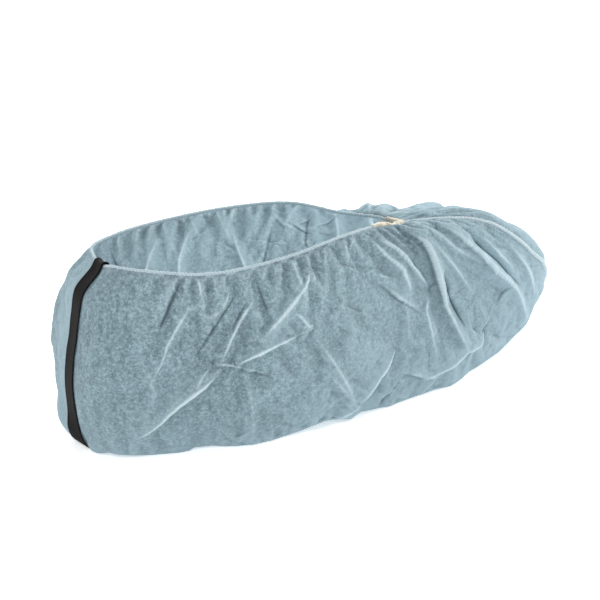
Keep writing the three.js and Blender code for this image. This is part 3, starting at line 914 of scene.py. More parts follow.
        # The crumple is calmer round the heel, and everything dies out at the rim and the tread
        calm = 0.45 + 0.55 * smoothstep(0.05, 0.22, np.minimum(grid.share, 1 - grid.share))
        folds = np.zeros(grid.up.shape)
        for fold in OUTER_CREASES + INNER_CREASES:
            self.crease(folds, fold)
        tread = 1 - 0.45 * np.exp(-grid.above_tread / (4 * MM))
        edges = (1 - np.exp(-grid.below_rim / (5 * MM))) * tread
        rim = 1 - np.exp(-grid.below_rim / (1.2 * MM))
        pucker = self.puckers(rng) * (1 - np.exp(-grid.above_tread / (20 * MM)))
        free = self.free()
        start = free * (edges * (soften(broad, 4) * calm + folds) + rim * pucker)
        after = free * (edges * (soften(fine * calm, 1) + self.after_share * folds) + 0.25 * rim * pucker)
        return start + edges * self.beside_seam(), after


@dataclass
class ClothSettle:
    """Lets the cloth take up its spare width, so that it buckles into gathers and folds.

    Threads of the cloth are held to their cut length by turns, on a grid that skips rows
    and columns, while the rim, the tread's edge, the ribbon and the seam stay in place.
    """

    grid: ClothGrid
    free: np.ndarray
    bunches: np.ndarray
    step: int = 2  # rows and columns from one thread to the next
    # How much longer the threads are cut than the wall, as shares: all over, below the rim
    # where the cloth is drawn in, and up the wall
    spare: float = 0.002
    rim_spare: float = 0.15
    rim_depth: float = 7 * MM
    rim_fade: float = 2.5 * MM
    upright_spare: float = 0.0005
    patch_passes: int = 160
    # How far the cloth may go inwards and outwards
    low: float = -1.6 * MM
    high: float = 7.0 * MM
    rounds: int = 140
    bend: float = 0.5
    shear: float = 0.4
    jitter: float = 0.12 * MM
    seed: int = 31

    def threads(self, points: np.ndarray, extra: np.ndarray) -> list[tuple]:
        """The held lengths, in batches that share no point.

        Args:
            points: the points they start from, rows by columns, without the doubled last column.
            extra: how much longer each place's level threads are cut, as a share.

        Returns:
            Batches of (first points, second points, lengths, stiffness).
        """
        rows, columns = points.shape[:2]
        number = np.arange(rows * columns).reshape(rows, columns)
        batches = []

        def add(down: int, along: int, longer: np.ndarray, stiffness: float) -> None:
            """Batches of threads from each point to one some rows up and columns along.

            Args:
                down: rows from one point to the other.
                along: columns from one point to the other.
                longer: how much longer each is cut than the wall.
                stiffness: share of a wrong length that one turn puts right.
            """
            step = max(down, abs(along))
            ahead = np.roll(points, -along, 1)[down:]
            length = np.linalg.norm(ahead - points[: rows - down], axis=-1) * (1 + longer[: rows - down])
            for phase in (0, 1):
                i, j = np.arange(rows - down), np.arange(columns)
                if down:
                    i = i[(i // step) % 2 == phase]
                else:
                    j = j[(j // step) % 2 == phase]
                first = number[np.ix_(i, j)].ravel()
                second = number[np.ix_(i + down, (j + along) % columns)].ravel()
                batches.append((first, second, length[np.ix_(i, j)].ravel(), stiffness))

        upright = np.full_like(extra, self.upright_spare)
        add(0, 1, extra, 1.0)
        add(1, 0, upright, 1.0)
        add(1, 1, extra / 2, self.shear)
        add(1, -1, extra / 2, self.shear)
        add(0, 2, extra, self.bend)
        add(2, 0, upright, self.bend)
        return batches

    def settle(self, wall: np.ndarray) -> np.ndarray:
        """Let the cloth settle.

        Args:
            wall: the full grid of points that it starts from.

        Returns:
            The full grid of points after it.
        """
        grid, step = self.grid, self.step
        pick = (slice(None, None, step), slice(None, -1, step))
        base, out = grid.points[pick], grid.normals[pick]
        share, below = grid.share[pick], grid.below_rim[pick]
        full = np.interp(share, *ClothRelief.FULLNESS) * self.bunches[:, :-1:step]
        gather = self.rim_spare * full * np.exp(-below / self.rim_depth)
        gather = gather * (1 - np.exp(-below / self.rim_fade))
        rng = np.random.default_rng(self.seed)
        patches = soften(rng.normal(0, 1, below.shape), self.patch_passes // step**2)
        extra = self.spare * np.clip(1 + 1.2 * patches / patches.std(), 0, 4) + gather
        start = wall[pick]
        batches = self.threads(start, extra)
        noise = soften(rng.normal(0, 1, below.shape), 2)
        weight = self.free[pick].copy()
        weight[0] = weight[-1] = 0
        moved = start + out * (self.jitter * noise / noise.std() * weight)[..., None]
        shape = moved.shape
        x, base, out, held = (part.reshape(-1, 3) for part in (moved, base, out, start))
        weight = weight.ravel() + 1e-9
        fixed = weight < 1e-6
        for _ in range(self.rounds):
            for first, second, length, stiffness in batches:
                gap = x[second] - x[first]
                now = np.sqrt(np.einsum("ij,ij->i", gap, gap)) + 1e-12
                a, b = weight[first], weight[second]
                pull = (stiffness * (now - length) / (now * (a + b)))[:, None] * gap
                x[first] += a[:, None] * pull
                x[second] -= b[:, None] * pull
            off = np.einsum("ij,ij->i", x - base, out)
            x += (np.clip(off, self.low, self.high) - off)[:, None] * out
            x[fixed] = held[fixed]
        change = (x - held).reshape(shape)
        change = np.concatenate([change, change[:, :1]], 1)
        while step > 1:
            change = double_rows(double_rows(change).transpose(1, 0, 2)).transpose(1, 0, 2)
            step //= 2
        return wall + change


def double_rows(values: np.ndarray) -> np.ndarray:
    """Twice as many rows, the new ones by a cubic through their four neighbours.

    Args:
        values: rows of values.

    Returns:
        The rows, with a new one between each two.
    """
    padded = np.concatenate([values[:1], values, values[-1:]])
    middle = (9 * (padded[1:-2] + padded[2:-1]) - padded[:-3] - padded[3:]) / 16
    out = np.empty((2 * len(values) - 1, *values.shape[1:]))
    out[::2], out[1::2] = values, middle
    return out


# The finishes


def linear(code: str) -> tuple[float, float, float, float]:
    """Turn an sRGB hex colour into linear red, green, blue and alpha.

    Args:
        code: six hex digits for sRGB red, green and blue.

    Returns:
        Four numbers from 0 to 1.
    """
    parts = [int(code[k : k + 2], 16) / 255 for k in (0, 2, 4)]
    rgb = [c / 12.92 if c <= 0.04045 else ((c + 0.055) / 1.055) ** 2.4 for c in parts]
    return (*rgb, 1.0)


# Detail of every noise, as fine grain on larger blotches
GRAIN = {"Detail": 3.0, "Roughness": 0.6}


def add_node(
    tree: bpy.types.NodeTree,
    kind: str,
    settings: dict[str, object] | None = None,
    inputs: dict[object, object] | None = None,
) -> bpy.types.Node:
    """Add a node with its settings, its values and its links.

    Args:
        tree: the material's or world's node tree.
        kind: the node's type.
        settings: properties to set on the node; "stops" are a colour ramp's (place, colour).
        inputs: a value or an output socket for each input, by name or number.

    Returns:
        The new node.
    """
    node = tree.nodes.new(kind)
    for name, value in (settings or {}).items():
        if name != "stops":
            setattr(node, name, value)
            continue
        elements = node.color_ramp.elements
        while len(elements) < len(value):
            elements.new(0.5)
        for element, (place, colour) in zip(elements, value):
            element.position, element.color = place, colour
    for name, value in (inputs or {}).items():
        if isinstance(value, bpy.types.NodeSocket):
            tree.links.new(value, node.inputs[name])
        else:
            node.inputs[name].default_value = value
    return node


def new_material(name: str) -> tuple[bpy.types.Material, bpy.types.NodeTree]:
    """An empty node material and its tree.

    Args:
        name: the material's name.

    Returns:
        The material and its node tree.
    """
    material = bpy.data.materials.new(name)
    material.use_nodes = True
    material.node_tree.nodes.clear()
    return material, material.node_tree


@dataclass(frozen=True)
class SpunbondPolypropylene:
    """Spunbond polypropylene cloth: melt-spun fibres laid at random and bonded flat.

    It gives the eye a dull blue-grey mottle with fine pale fibres. It is paler where the cloth
    stands clear, partly painted light, with a painted highlight on crests and painted shade in hollows.
    """

    name: str = "spunbond_polypropylene"
    # Stops of the random mottle, dark to pale; fibre is also the fibres' colour
    hollow: str = "697a80"
    middle: str = "859aa2"
    fibre: str = "acc2ca"
    # The painted highlight on crests, also the pale of the hem and the seam; the paler colour where the
    # cloth stands clear, partly painted light; the painted shade in hollows
    crease: str = "dcebf0"
    clear: str = "b5cbd3"
    shade: str = "46565d"
    blotch_size: float = 1.8 * MM
    speck_size: float = 0.85 * MM
    cloud_size: float = 26 * MM
    cloud_share: float = 0.22
    speck_share: float = 0.38
    stops: tuple[float, float, float] = (0.38, 0.50, 0.63)
    # Real fibres are 0.02 mm across, too fine to show: bundles of them are drawn instead
    fibre_width: float = 0.8 * MM
    fibre_stretch: float = 0.24
    fibre_turns: tuple[float, float, float] = (38, 84, 141)
    fibre_stops: tuple[float, float] = (0.60, 0.73)
    fibre_share: float = 0.65
    fibre_relief: float = 0.4
    clear_share: float = 0.7
    bump_depth: float = 0.25 * MM
    bump_strength: float = 0.45
    roughness: float = 0.85
    specular: float = 0.2
    sheen: float = 0.1
    glow: float = 0.36  # share of the light that comes through from behind

    def build(self) -> bpy.types.Material:
        """Make the material.

        Returns:
            The cloth's material, part of whose light comes through from behind.
        """
        material, tree = new_material(self.name)
        flat = add_node(tree, "ShaderNodeAttribute", {"attribute_name": FLAT}).outputs["Vector"]
        # Masks: pale for the painted highlight, clear for paler cloth that is partly painted light, hollow
        # for painted shade
        pale, clear, hollow = (
            add_node(tree, "ShaderNodeAttribute", {"attribute_name": name}).outputs["Fac"]
            for name in (PALE, CLEAR, PAINTED_SHADE)
        )
        blotch, cloud, speck = (
            add_node(
                tree, "ShaderNodeTexNoise", None, {"Vector": flat, "Scale": 1 / size, **GRAIN}
            ).outputs["Fac"]
            for size in (self.blotch_size, self.cloud_size, self.speck_size)
        )
        web = None
        for turn in self.fibre_turns:
            laid = add_node(
                tree, "ShaderNodeMapping", None,
                {"Vector": flat, "Rotation": (0, math.radians(turn), 0),
                 "Scale": (self.fibre_stretch, 1, 1)},
            ).outputs[0]
            strand = add_node(
                tree, "ShaderNodeTexNoise", None, {"Vector": laid, "Scale": 1 / self.fibre_width, **GRAIN}
            ).outputs["Fac"]
            web = strand if web is None else add_node(
                tree, "ShaderNodeMath", {"operation": "MAXIMUM"}, {0: web, 1: strand}
            ).outputs[0]
        body = add_node(tree, "ShaderNodeMix", None, {0: self.cloud_share, 2: blotch, 3: cloud}).outputs[0]
        body = add_node(tree, "ShaderNodeMix", None, {0: self.speck_share, 2: body, 3: speck}).outputs[0]
        shades = (linear(code) for code in (self.hollow, self.middle, self.fibre))
        colour = add_node(
            tree, "ShaderNodeValToRGB", {"stops": tuple(zip(self.stops, shades))}, {0: body}
        ).outputs[0]
        low, high = self.fibre_stops
        strands = add_node(
            tree, "ShaderNodeValToRGB",
            {"stops": ((low, (0, 0, 0, 1)), (high, (*[self.fibre_share] * 3, 1)))}, {0: web},
        ).outputs[0]
        partly = add_node(
            tree, "ShaderNodeMath", {"operation": "MULTIPLY"}, {0: clear, 1: self.clear_share}
        ).outputs[0]
        # Mix in the paler clear colour, partly painted light, then the fibres, painted shade in hollows and
        # the painted highlight on crests
        for factor, code in (
            (partly, self.clear), (strands, self.fibre), (hollow, self.shade), (pale, self.crease)
        ):
            colour = add_node(
                tree, "ShaderNodeMix", {"data_type": "RGBA"}, {0: factor, 6: colour, 7: linear(code)}
            ).outputs[2]
        relief = add_node(tree, "ShaderNodeMix", None, {0: self.fibre_relief, 2: blotch, 3: web}).outputs[0]
        bump = add_node(
            tree, "ShaderNodeBump", None,
            {"Strength": self.bump_strength, "Distance": self.bump_depth, "Height": relief},
        ).outputs[0]
        cloth = add_node(
            tree, "ShaderNodeBsdfPrincipled", None,
            {"Base Color": colour, "Roughness": self.roughness, "Specular IOR Level": self.specular,
             "Sheen Weight": self.sheen, "Sheen Roughness": 0.5, "Normal": bump},
        ).outputs[0]
        through = add_node(
            tree, "ShaderNodeBsdfTranslucent", None, {"Color": colour, "Normal": bump}
        ).outputs[0]
        mixed = add_node(tree, "ShaderNodeMixShader", None, {0: self.glow, 1: cloth, 2: through}).outputs[0]
        add_node(tree, "ShaderNodeOutputMaterial", None, {"Surface": mixed})
        return material


@dataclass(frozen=True)
class SpunThread:
    """Polyester thread, textured and loosely spun: a soft white line with fine shadow."""

    name: str = "textured_polyester_thread"
    colour: str = "f6fafb"
    shade: str = "cdd8dc"
    # Twisted plies of 0.1 mm don't show: the twist is drawn as wide as the strand
    strand: float = 0.5 * MM
    bump_depth: float = 0.2 * MM
    bump_strength: float = 0.6
    roughness: float = 0.75
    specular: float = 0.3

    def build(self) -> bpy.types.Material:
        """Make the material.

        Returns:
            The thread's material.
        """
        material, tree = new_material(self.name)
        place = add_node(tree, "ShaderNodeTexCoord").outputs["Object"]
        twist = add_node(
            tree, "ShaderNodeTexNoise", None, {"Vector": place, "Scale": 1 / self.strand, **GRAIN}
        ).outputs["Fac"]
        colour = add_node(
            tree, "ShaderNodeValToRGB",
            {"stops": ((0.35, linear(self.shade)), (0.62, linear(self.colour)))}, {0: twist},
        ).outputs[0]
        bump = add_node(
            tree, "ShaderNodeBump", None,
            {"Strength": self.bump_strength, "Distance": self.bump_depth, "Height": twist},
        ).outputs[0]
        body = add_node(
            tree, "ShaderNodeBsdfPrincipled", None,
            {"Base Color": colour, "Roughness": self.roughness,
             "Specular IOR Level": self.specular, "Normal": bump},
        ).outputs[0]
        add_node(tree, "ShaderNodeOutputMaterial", None, {"Surface": body})
        return material


@dataclass(frozen=True)
class CarbonRibbon:
    """Woven nylon tape with carbon filaments: near black, warp ribs along it, darker selvedges."""

    name: str = "woven_carbon_nylon"
    body: str = "1b1715"
    rib: str = "131110"
    selvedge: str = "0d0c0c"
    # Warp ribs of 0.4 mm don't show: they are drawn twice as wide, and the weft a little closer
    rib_width: float = 0.8 * MM
    weft_share: float = 0.9
    bump_depth: float = 0.25 * MM
    bump_strength: float = 0.5
    roughness: float = 0.75
    specular: float = 0.12

    # Scale of a band pattern whose bands are one metre apart
    BANDS: ClassVar[float] = 0.314

    def build(self) -> bpy.types.Material:
        """Make the material.

        Returns:
            The ribbon's material.
        """
        material, tree = new_material(self.name)
        flat = add_node(tree, "ShaderNodeAttribute", {"attribute_name": FLAT}).outputs["Vector"]
        edge = add_node(tree, "ShaderNodeAttribute", {"attribute_name": PALE}).outputs["Fac"]
        weave = add_node(
            tree, "ShaderNodeTexWave", {"wave_type": "BANDS", "bands_direction": "X"},
            {"Vector": flat, "Scale": self.BANDS / self.rib_width,
             "Distortion": 1.2, "Detail": 2.0, "Detail Scale": 2.0},
        ).outputs["Fac"]
        weft = add_node(
            tree, "ShaderNodeTexWave", {"wave_type": "BANDS", "bands_direction": "Y"},
            {"Vector": flat, "Scale": self.BANDS / (self.weft_share * self.rib_width),
             "Distortion": 1.0, "Detail": 2.0},
        ).outputs["Fac"]
        cloth = add_node(tree, "ShaderNodeMath", {"operation": "MULTIPLY"}, {0: weave, 1: weft}).outputs[0]
        colour = add_node(
            tree, "ShaderNodeValToRGB",
            {"stops": ((0.05, linear(self.rib)), (0.6, linear(self.body)))}, {0: cloth},
        ).outputs[0]
        colour = add_node(
            tree, "ShaderNodeMix", {"data_type": "RGBA"}, {0: edge, 6: colour, 7: linear(self.selvedge)}
        ).outputs[2]
        bump = add_node(
            tree, "ShaderNodeBump", None,
            {"Strength": self.bump_strength, "Distance": self.bump_depth, "Height": cloth},
        ).outputs[0]
        body = add_node(
            tree, "ShaderNodeBsdfPrincipled", None,
            {"Base Color": colour, "Roughness": self.roughness,
             "Specular IOR Level": self.specular, "Normal": bump},
        ).outputs[0]
        add_node(tree, "ShaderNodeOutputMaterial", None, {"Surface": body})
        return material


@dataclass(frozen=True)
class LitAcrylic:
    """Opal acrylic lit from below, as a product table: pure white, with hardly a shadow."""

    name: str = "lit_opal_acrylic"
    colour: str = "f8f9fa"
    light: float = 0.45

    def build(self) -> bpy.types.Material:
        """Make the material.

        Returns:
            The table's material.
        """
        material, tree = new_material(self.name)
        body = add_node(
            tree, "ShaderNodeBsdfPrincipled", None,
            {"Base Color": linear(self.colour), "Roughness": 0.9, "Specular IOR Level": 0.1,
             "Emission Color": linear(self.colour), "Emission Strength": self.light},
        ).outputs[0]
        add_node(tree, "ShaderNodeOutputMaterial", None, {"Surface": body})
        return material


# The pieces


def dress(piece: bpy.types.Object, material: bpy.types.Material, slot: str, *nodes: str) -> None:
    """Give a piece its material, put it on the body and in place of its CAD nodes.

    Args:
        piece: the piece.
        material: its material.
        slot: its slot, by kind of material; not used.
        nodes: names of the CAD nodes that it stands for.
    """
    piece.data.materials.append(material)
    if nodes:
        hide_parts(*nodes)
    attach(piece, BODY)
    log.info("%s: %d faces", piece.name, len(piece.data.polygons))


@dataclass
class ClothBag:
    """The cloth: two cut halves, joined along the heel, the sole and the front."""

    grid: ClothGrid
    material: bpy.types.Material
    tread_rows: int = 10
    ribbon_side: float = 4.8 * MM
    ribbon_half: float = 7.5 * MM
    ribbon_under: float = 32 * MM
    ribbon_clear: float = 1.4 * MM
    floor_clear: float = 0.25 * MM
    fade: float = 4 * MM
    tuck: float = 1.3 * MM
    flat_size: tuple[float, float] = (0.16, 0.40)

    def folded_wall(self) -> np.ndarray:
        """The wall with its folds: settled in two passes, broad and close, then crumpled.

        Returns:
            The grid of points.
        """
        grid = self.grid
        relief = ClothRelief(grid)
        start, after = relief.layers()
        wall = grid.points + grid.normals * start[..., None]
        free, bunches = relief.free(), relief.bunches()
        broad = ClothSettle(
            grid, free, bunches,
            step=4, spare=0.010, rim_spare=0.05, rim_depth=22 * MM, rounds=220, seed=12,
        )
        for level in (broad, ClothSettle(grid, free, bunches)):
            wall = level.settle(wall)
        return wall + grid_normals(wall) * after[..., None]

    def with_tuck(self, wall: np.ndarray) -> np.ndarray:
        """The wall with one more row, which runs up into the hem."""
        _, past, _ = self.grid.form.rim_frame(self.grid.share[-1])
        return np.concatenate([wall, (wall[-1] + past * self.tuck)[None]])

    def tread_points(self, edge: np.ndarray) -> np.ndarray:
        """Rows from the middle line of the tread out to its edge, for the whole loop.

        Args:
            edge: the points of the tread's edge.

        Returns:
            The rows, without the edge itself.
        """
        middle = (edge + edge[::-1]) / 2
        t = np.linspace(0, 1, self.tread_rows + 1)[:-1, None, None]
        return middle + (edge - middle) * t

    def over_ribbon(self, points: np.ndarray) -> np.ndarray:
        """Lift the cloth over the ribbon under the heel, and off the floor.

        Args:
            points: the cloth's points.

        Returns:
            The points after it.
        """
        heel = self.grid.form.tread_edge(np.array(0.0))
        off = points - heel
        beside = np.abs(off[..., 1] + self.ribbon_side) - self.ribbon_half
        past = off[..., 0] - self.ribbon_under
        cover = smoothstep(0, 1, 1 - beside / self.fade) * smoothstep(0, 1, 1 - past / self.fade)
        near = np.exp(-np.maximum(points[..., 2], 0) / self.fade)
        lowest = self.floor_clear * (1 - 0.3 * cover) + self.ribbon_clear * 0.7 * cover
        lifted = points.copy()
        lifted[..., 2] += (self.floor_clear + (self.ribbon_clear - self.floor_clear) * cover) * near
        lifted[..., 2] = np.maximum(lifted[..., 2], lowest)
        return lifted

    def build(self) -> None:
        grid = self.grid
        wall = self.folded_wall()
        heights = np.einsum("ijk,ijk->ij", wall - grid.points, grid.normals)
        wall = self.with_tuck(wall)
        points = self.over_ribbon(np.concatenate([self.tread_points(wall[0]), wall]))
        flat = np.concatenate([self.tread_points(grid.points[0]), grid.points, grid.points[-1:]])
        shades = self.shades(heights)
        middle = grid.columns // 2
        for side, columns in ((Side.OUTER, slice(0, middle + 1)), (Side.INNER, slice(middle, None))):
            part = points[:, columns]
            name = f"cloth_{side.value}"
            piece = mesh_piece(name, part, grid_faces(*part.shape[:2]).tolist())
            set_attribute(piece, FLAT, flat[:, columns].reshape(-1, 3))
            for layer, values in shades.items():
                set_attribute(piece, layer, values[:, columns].ravel())
            self.close_points(piece)
            dress(piece, self.material, "nonwoven", "fabric_bag")

    def shades(self, heights: np.ndarray) -> dict[str, np.ndarray]:
        """Masks for the cloth's colour: a painted highlight on crests, painted shade in hollows, and paler
        where it stands clear, partly painted light.

        Args:
            heights: how far the folded wall stands off the smooth one.

        Returns:
            A grid from 0 to 1 for each attribute, with the rows of the tread and the tuck.
        """
        grid = self.grid
        fine = heights - soften(heights, 3)
        wide = heights - soften(heights, 30)
        rim = np.exp(-grid.below_rim / (1.6 * MM))
        # Painted light: the cloth is painted paler where it stands clear, low down, from the middle to the
        # toe but not high on the outer side, at the toe's end, inner side by the throat, behind the heel
        low = np.exp(-grid.above_tread / (17 * MM))
        toe = smoothstep(0.16, 0.34, grid.share) * (1 - 0.5 * smoothstep(0.80, 0.95, grid.share))
        top = smoothstep(0.62, 0.85, grid.up) * (1 - smoothstep(0.5, 0.51, grid.share))
        tip = hump(grid.share, 0.49, 0.05) * (1 - smoothstep(0.45, 0.85, grid.up))
        over = smoothstep(0.50, 0.52, grid.share) * smoothstep(0.70, 0.60, grid.share)
        over = over * smoothstep(0.5, 0.7, grid.up)
        behind = smoothstep(0.955, 0.985, grid.share)
        clear = 0.7 * low + 0.45 * toe * (1 - 0.9 * top) + 0.4 * tip + 0.8 * over + 0.9 * behind
        # Painted highlight on fine crests and broad swells, and a paler band by the rim; painted shade in
        # fine cracks and broad dips; cloth that stands off the wall is paler still
        crest, swell = np.clip(fine / (0.15 * MM), 0, 1), np.clip(wide / MM, 0, 1)
        crack, dip = np.clip(-fine / (0.11 * MM), 0, 1), np.clip(-wide / (0.8 * MM), 0, 1)
        layers = {
            PALE: 0.65 * crest**2 + 0.15 * swell + 0.15 * rim,
            PAINTED_SHADE: 0.5 * crack**1.6 + 0.35 * dip,
            CLEAR: clear + 0.4 * np.clip(heights / (4 * MM), 0, 1),
        }
        under = np.ones((self.tread_rows, 1))
        return {
            name: np.clip(np.concatenate([under * layer[:1], layer, layer[-1:]]), 0, 1)
            for name, layer in layers.items()
        }

    @staticmethod
    def close_points(piece: bpy.types.Object) -> None:
        """Join the rows of the tread where they meet at the heel and the toe.

        Args:
            piece: one half of the cloth, changed in place.
        """
        work = bmesh.new()
        work.from_mesh(piece.data)
        bmesh.ops.remove_doubles(work, verts=work.verts, dist=2e-6)
        bmesh.ops.dissolve_degenerate(work, dist=1e-7, edges=work.edges)
        work.to_mesh(piece.data)
        work.free()


@dataclass
class RolledHem:
    """The rim: cloth rolled over the elastic cord and overcast with thread."""

    form: CoverForm
    cloth: bpy.types.Material
    thread: bpy.types.Material
    radius: float = 0.88 * MM
    ripple: float = 0.16  # of the hem's radius
    ripple_length: float = 3.1 * MM
    rings: int = 880
    sides: int = 14
    wrap_pitch: float = 1.9 * MM
    wrap_radius: float = 0.12 * MM
    wrap_stand: float = 1.12  # of the hem's radius
    wrap_loose: float = 0.10
    wrap_steps: int = 14  # for each turn of the thread
    ripple_factors: tuple[float, ...] = (0.6, 1.0, 1.7, 2.6)
    inset: float = 0.3 * MM
    pale: float = 0.55
    seed: int = 5

    def frames(self, shares: np.ndarray) -> tuple[np.ndarray, np.ndarray, np.ndarray]:
        """Centres of the hem and its two cross directions."""
        centre, past, out = self.form.rim_frame(shares)
        return centre - past * self.inset, past, out

    def shape(self, run: np.ndarray, angle: np.ndarray) -> np.ndarray:
        """Radius of the rolled cloth at lengths along the rim and angles round it.

        Args:
            run: lengths along the rim, the last one all round.
            angle: angles round the hem.

        Returns:
            A radius for each pair of them.
        """
        rng = np.random.default_rng(self.seed)
        total = np.zeros(np.broadcast(run, angle).shape)
        for factor in self.ripple_factors:
            phase = rng.uniform(0, 2 * math.pi, 2)
            turns = round(run.max() * factor / self.ripple_length)
            wave = 2 * math.pi * turns * run / run.max()
            total = total + np.sin(wave + phase[0] + 1.5 * np.sin(angle + phase[1]))
        return self.radius * (1 + self.ripple * total / 2)

    def build(self) -> None:
        """Make the rolled hem and its overcast stitches."""
        shares = self.form.even_shares(self.rings, 1.0)[:-1]
        centre, past, out = self.frames(shares)
        run = arc_length(np.concatenate([centre, centre[:1]]), 0)
        angle = circle(self.sides)[None, :]
        radius = self.shape(run[:, None], angle)[:-1]
        points = centre[:, None] + radius[..., None] * turned(angle, past[:, None], out[:, None])
        faces = [face[::-1] for face in ring_faces(len(points), self.sides, closed=True)]
        hem = mesh_piece("rolled_hem", points, faces)
        set_flat(hem, run[:-1, None], angle * self.radius)
        set_shade(hem, PALE, self.pale)
        set_shade(hem, CLEAR, 1.0)
        dress(hem, self.cloth, "elastic", "elastic_band")
        dress(self.overcast(run[-1]), self.thread, "thread")

    def overcast(self, length: float) -> bpy.types.Object:
        """One thread wound round the hem.

        Args:
            length: length of the rim.

        Returns:
            The piece.
        """
        turns = round(length / self.wrap_pitch)
        steps = turns * self.wrap_steps
        even = self.form.even_shares(2 * (steps // 2), 1.0)
        place = np.linspace(0, 1, steps, endpoint=False)
        centre, past, out = self.frames(np.interp(place, np.linspace(0, 1, len(even)), even))
        rng = np.random.default_rng(self.seed + 1)
        knots = np.arange(0, steps, self.wrap_steps // 2)
        loose = 1 + self.wrap_loose * np.interp(np.arange(steps), knots, rng.normal(0, 1, len(knots)))
        radius = (self.radius * self.wrap_stand) * loose
        path = centre + radius[:, None] * turned(2 * math.pi * turns * place, past, out)
        return tube("hem_overcast_thread", path, self.wrap_radius, 5, closed=True)


@dataclass
class ElasticLap:
    """The two ends of the elastic, lapped at the front of the opening and tacked."""

    form: CoverForm
    material: bpy.types.Material
    start: float = 0.504
    length: float = 10 * MM
    height: float = 4.2 * MM
    thickness: float = 1.2 * MM
    solid_thickness: float = 1.4 * MM  # of the CAD lap, whose middle it shares
    rings: int = 25
    sides: int = 40
    ribs: int = 5
    rib_relief: float = 0.22
    waver: float = 0.25 * MM
    tack_shares: tuple[float, float] = (0.374, 0.538)
    tack_size: float = 1.35 * MM
    tack_stand: float = 0.8 * MM
    tack_lumps: tuple[float, float] = (0.392, 0.492)
    lump_width: float = 0.018
    tack_pitch: float = 0.8 * MM
    tack_radius: float = 0.30 * MM
    seed: int = 14

    def build(self) -> None:
        """Make the ribbed lap and the thread that ties it."""
        shares = self.start + np.linspace(0, 1, self.rings) * self.share_length()
        centre, past, out = self.form.rim_frame(shares)
        stand = (self.form.elastic_width + self.solid_thickness) / 2 + self.form.gap
        centre = centre - out * stand
        angle = circle(self.sides)
        x, y = np.cos(angle), np.sin(angle)
        wide = np.sign(x) * np.abs(x) ** 0.5 * self.height / 2
        rib = 1 + self.rib_relief * np.cos(2 * math.pi * self.ribs * wide / self.height)
        thick = np.sign(y) * np.abs(y) ** 0.6 * self.thickness / 2 * rib
        wave = self.waver * np.sin(np.linspace(0, 9, self.rings))[:, None, None]
        points = centre[:, None] + wide[None, :, None] * past[:, None] + thick[None, :, None] * out[:, None]
        points = points + wave * out[:, None]
        lap = mesh_piece("elastic_lap_band", points, ring_faces(self.rings, self.sides))
        dress(lap, self.material, "elastic", "elastic_lap")
        dress(self.tack(), self.material, "thread")

    def tack(self) -> bpy.types.Object:
        """The bunched thread that ties the lap and the seam's end to the rim.

        Returns:
            The piece.
        """
        rng = np.random.default_rng(self.seed)
        first, last = self.tack_shares
        run = arc_length(self.form.rim_edge(np.linspace(first, last, 200)), 0)[-1]
        turns = round(run / self.tack_pitch)
        t = np.linspace(0, 1, 16 * turns)
        place = first + (last - first) * t
        centre, past, out = self.form.rim_frame(place)

        def wander(size: float, step: float) -> np.ndarray:
            """A random wander of a size, with a knot every step along the rim."""
            count = max(4, round(run / step))
            return size * np.interp(t, np.linspace(0, 1, count), rng.normal(0, 1, count))

        turn = 2 * math.pi * turns * t + wander(0.5, 2 * MM)
        lumps = sum(hump(place, lump, self.lump_width) for lump in self.tack_lumps)
        ends = np.sqrt(np.sin(np.pi * (0.06 + 0.88 * t))) * (1 + 0.8 * lumps)
        swell = 1 + np.clip(wander(0.30, 2.6 * MM), -0.3, 0.5)
        radius = self.tack_size * ends * swell + wander(0.12 * MM, 0.3 * MM)
        path = centre + (self.tack_stand + wander(0.4 * MM, 3 * MM))[:, None] * out
        path = path + radius[:, None] * turned(turn, past, out)
        return tube("lap_tack_thread", path, self.tack_radius, 6, closed=False)

    def share_length(self) -> float:
        """Share of the loop that the lap takes.

        Returns:
            The share.
        """
        shares = np.linspace(self.start, self.start + 0.1, 400)
        run = arc_length(self.form.rim_edge(shares), 0)
        return float(np.interp(self.length, run, shares)) - self.start


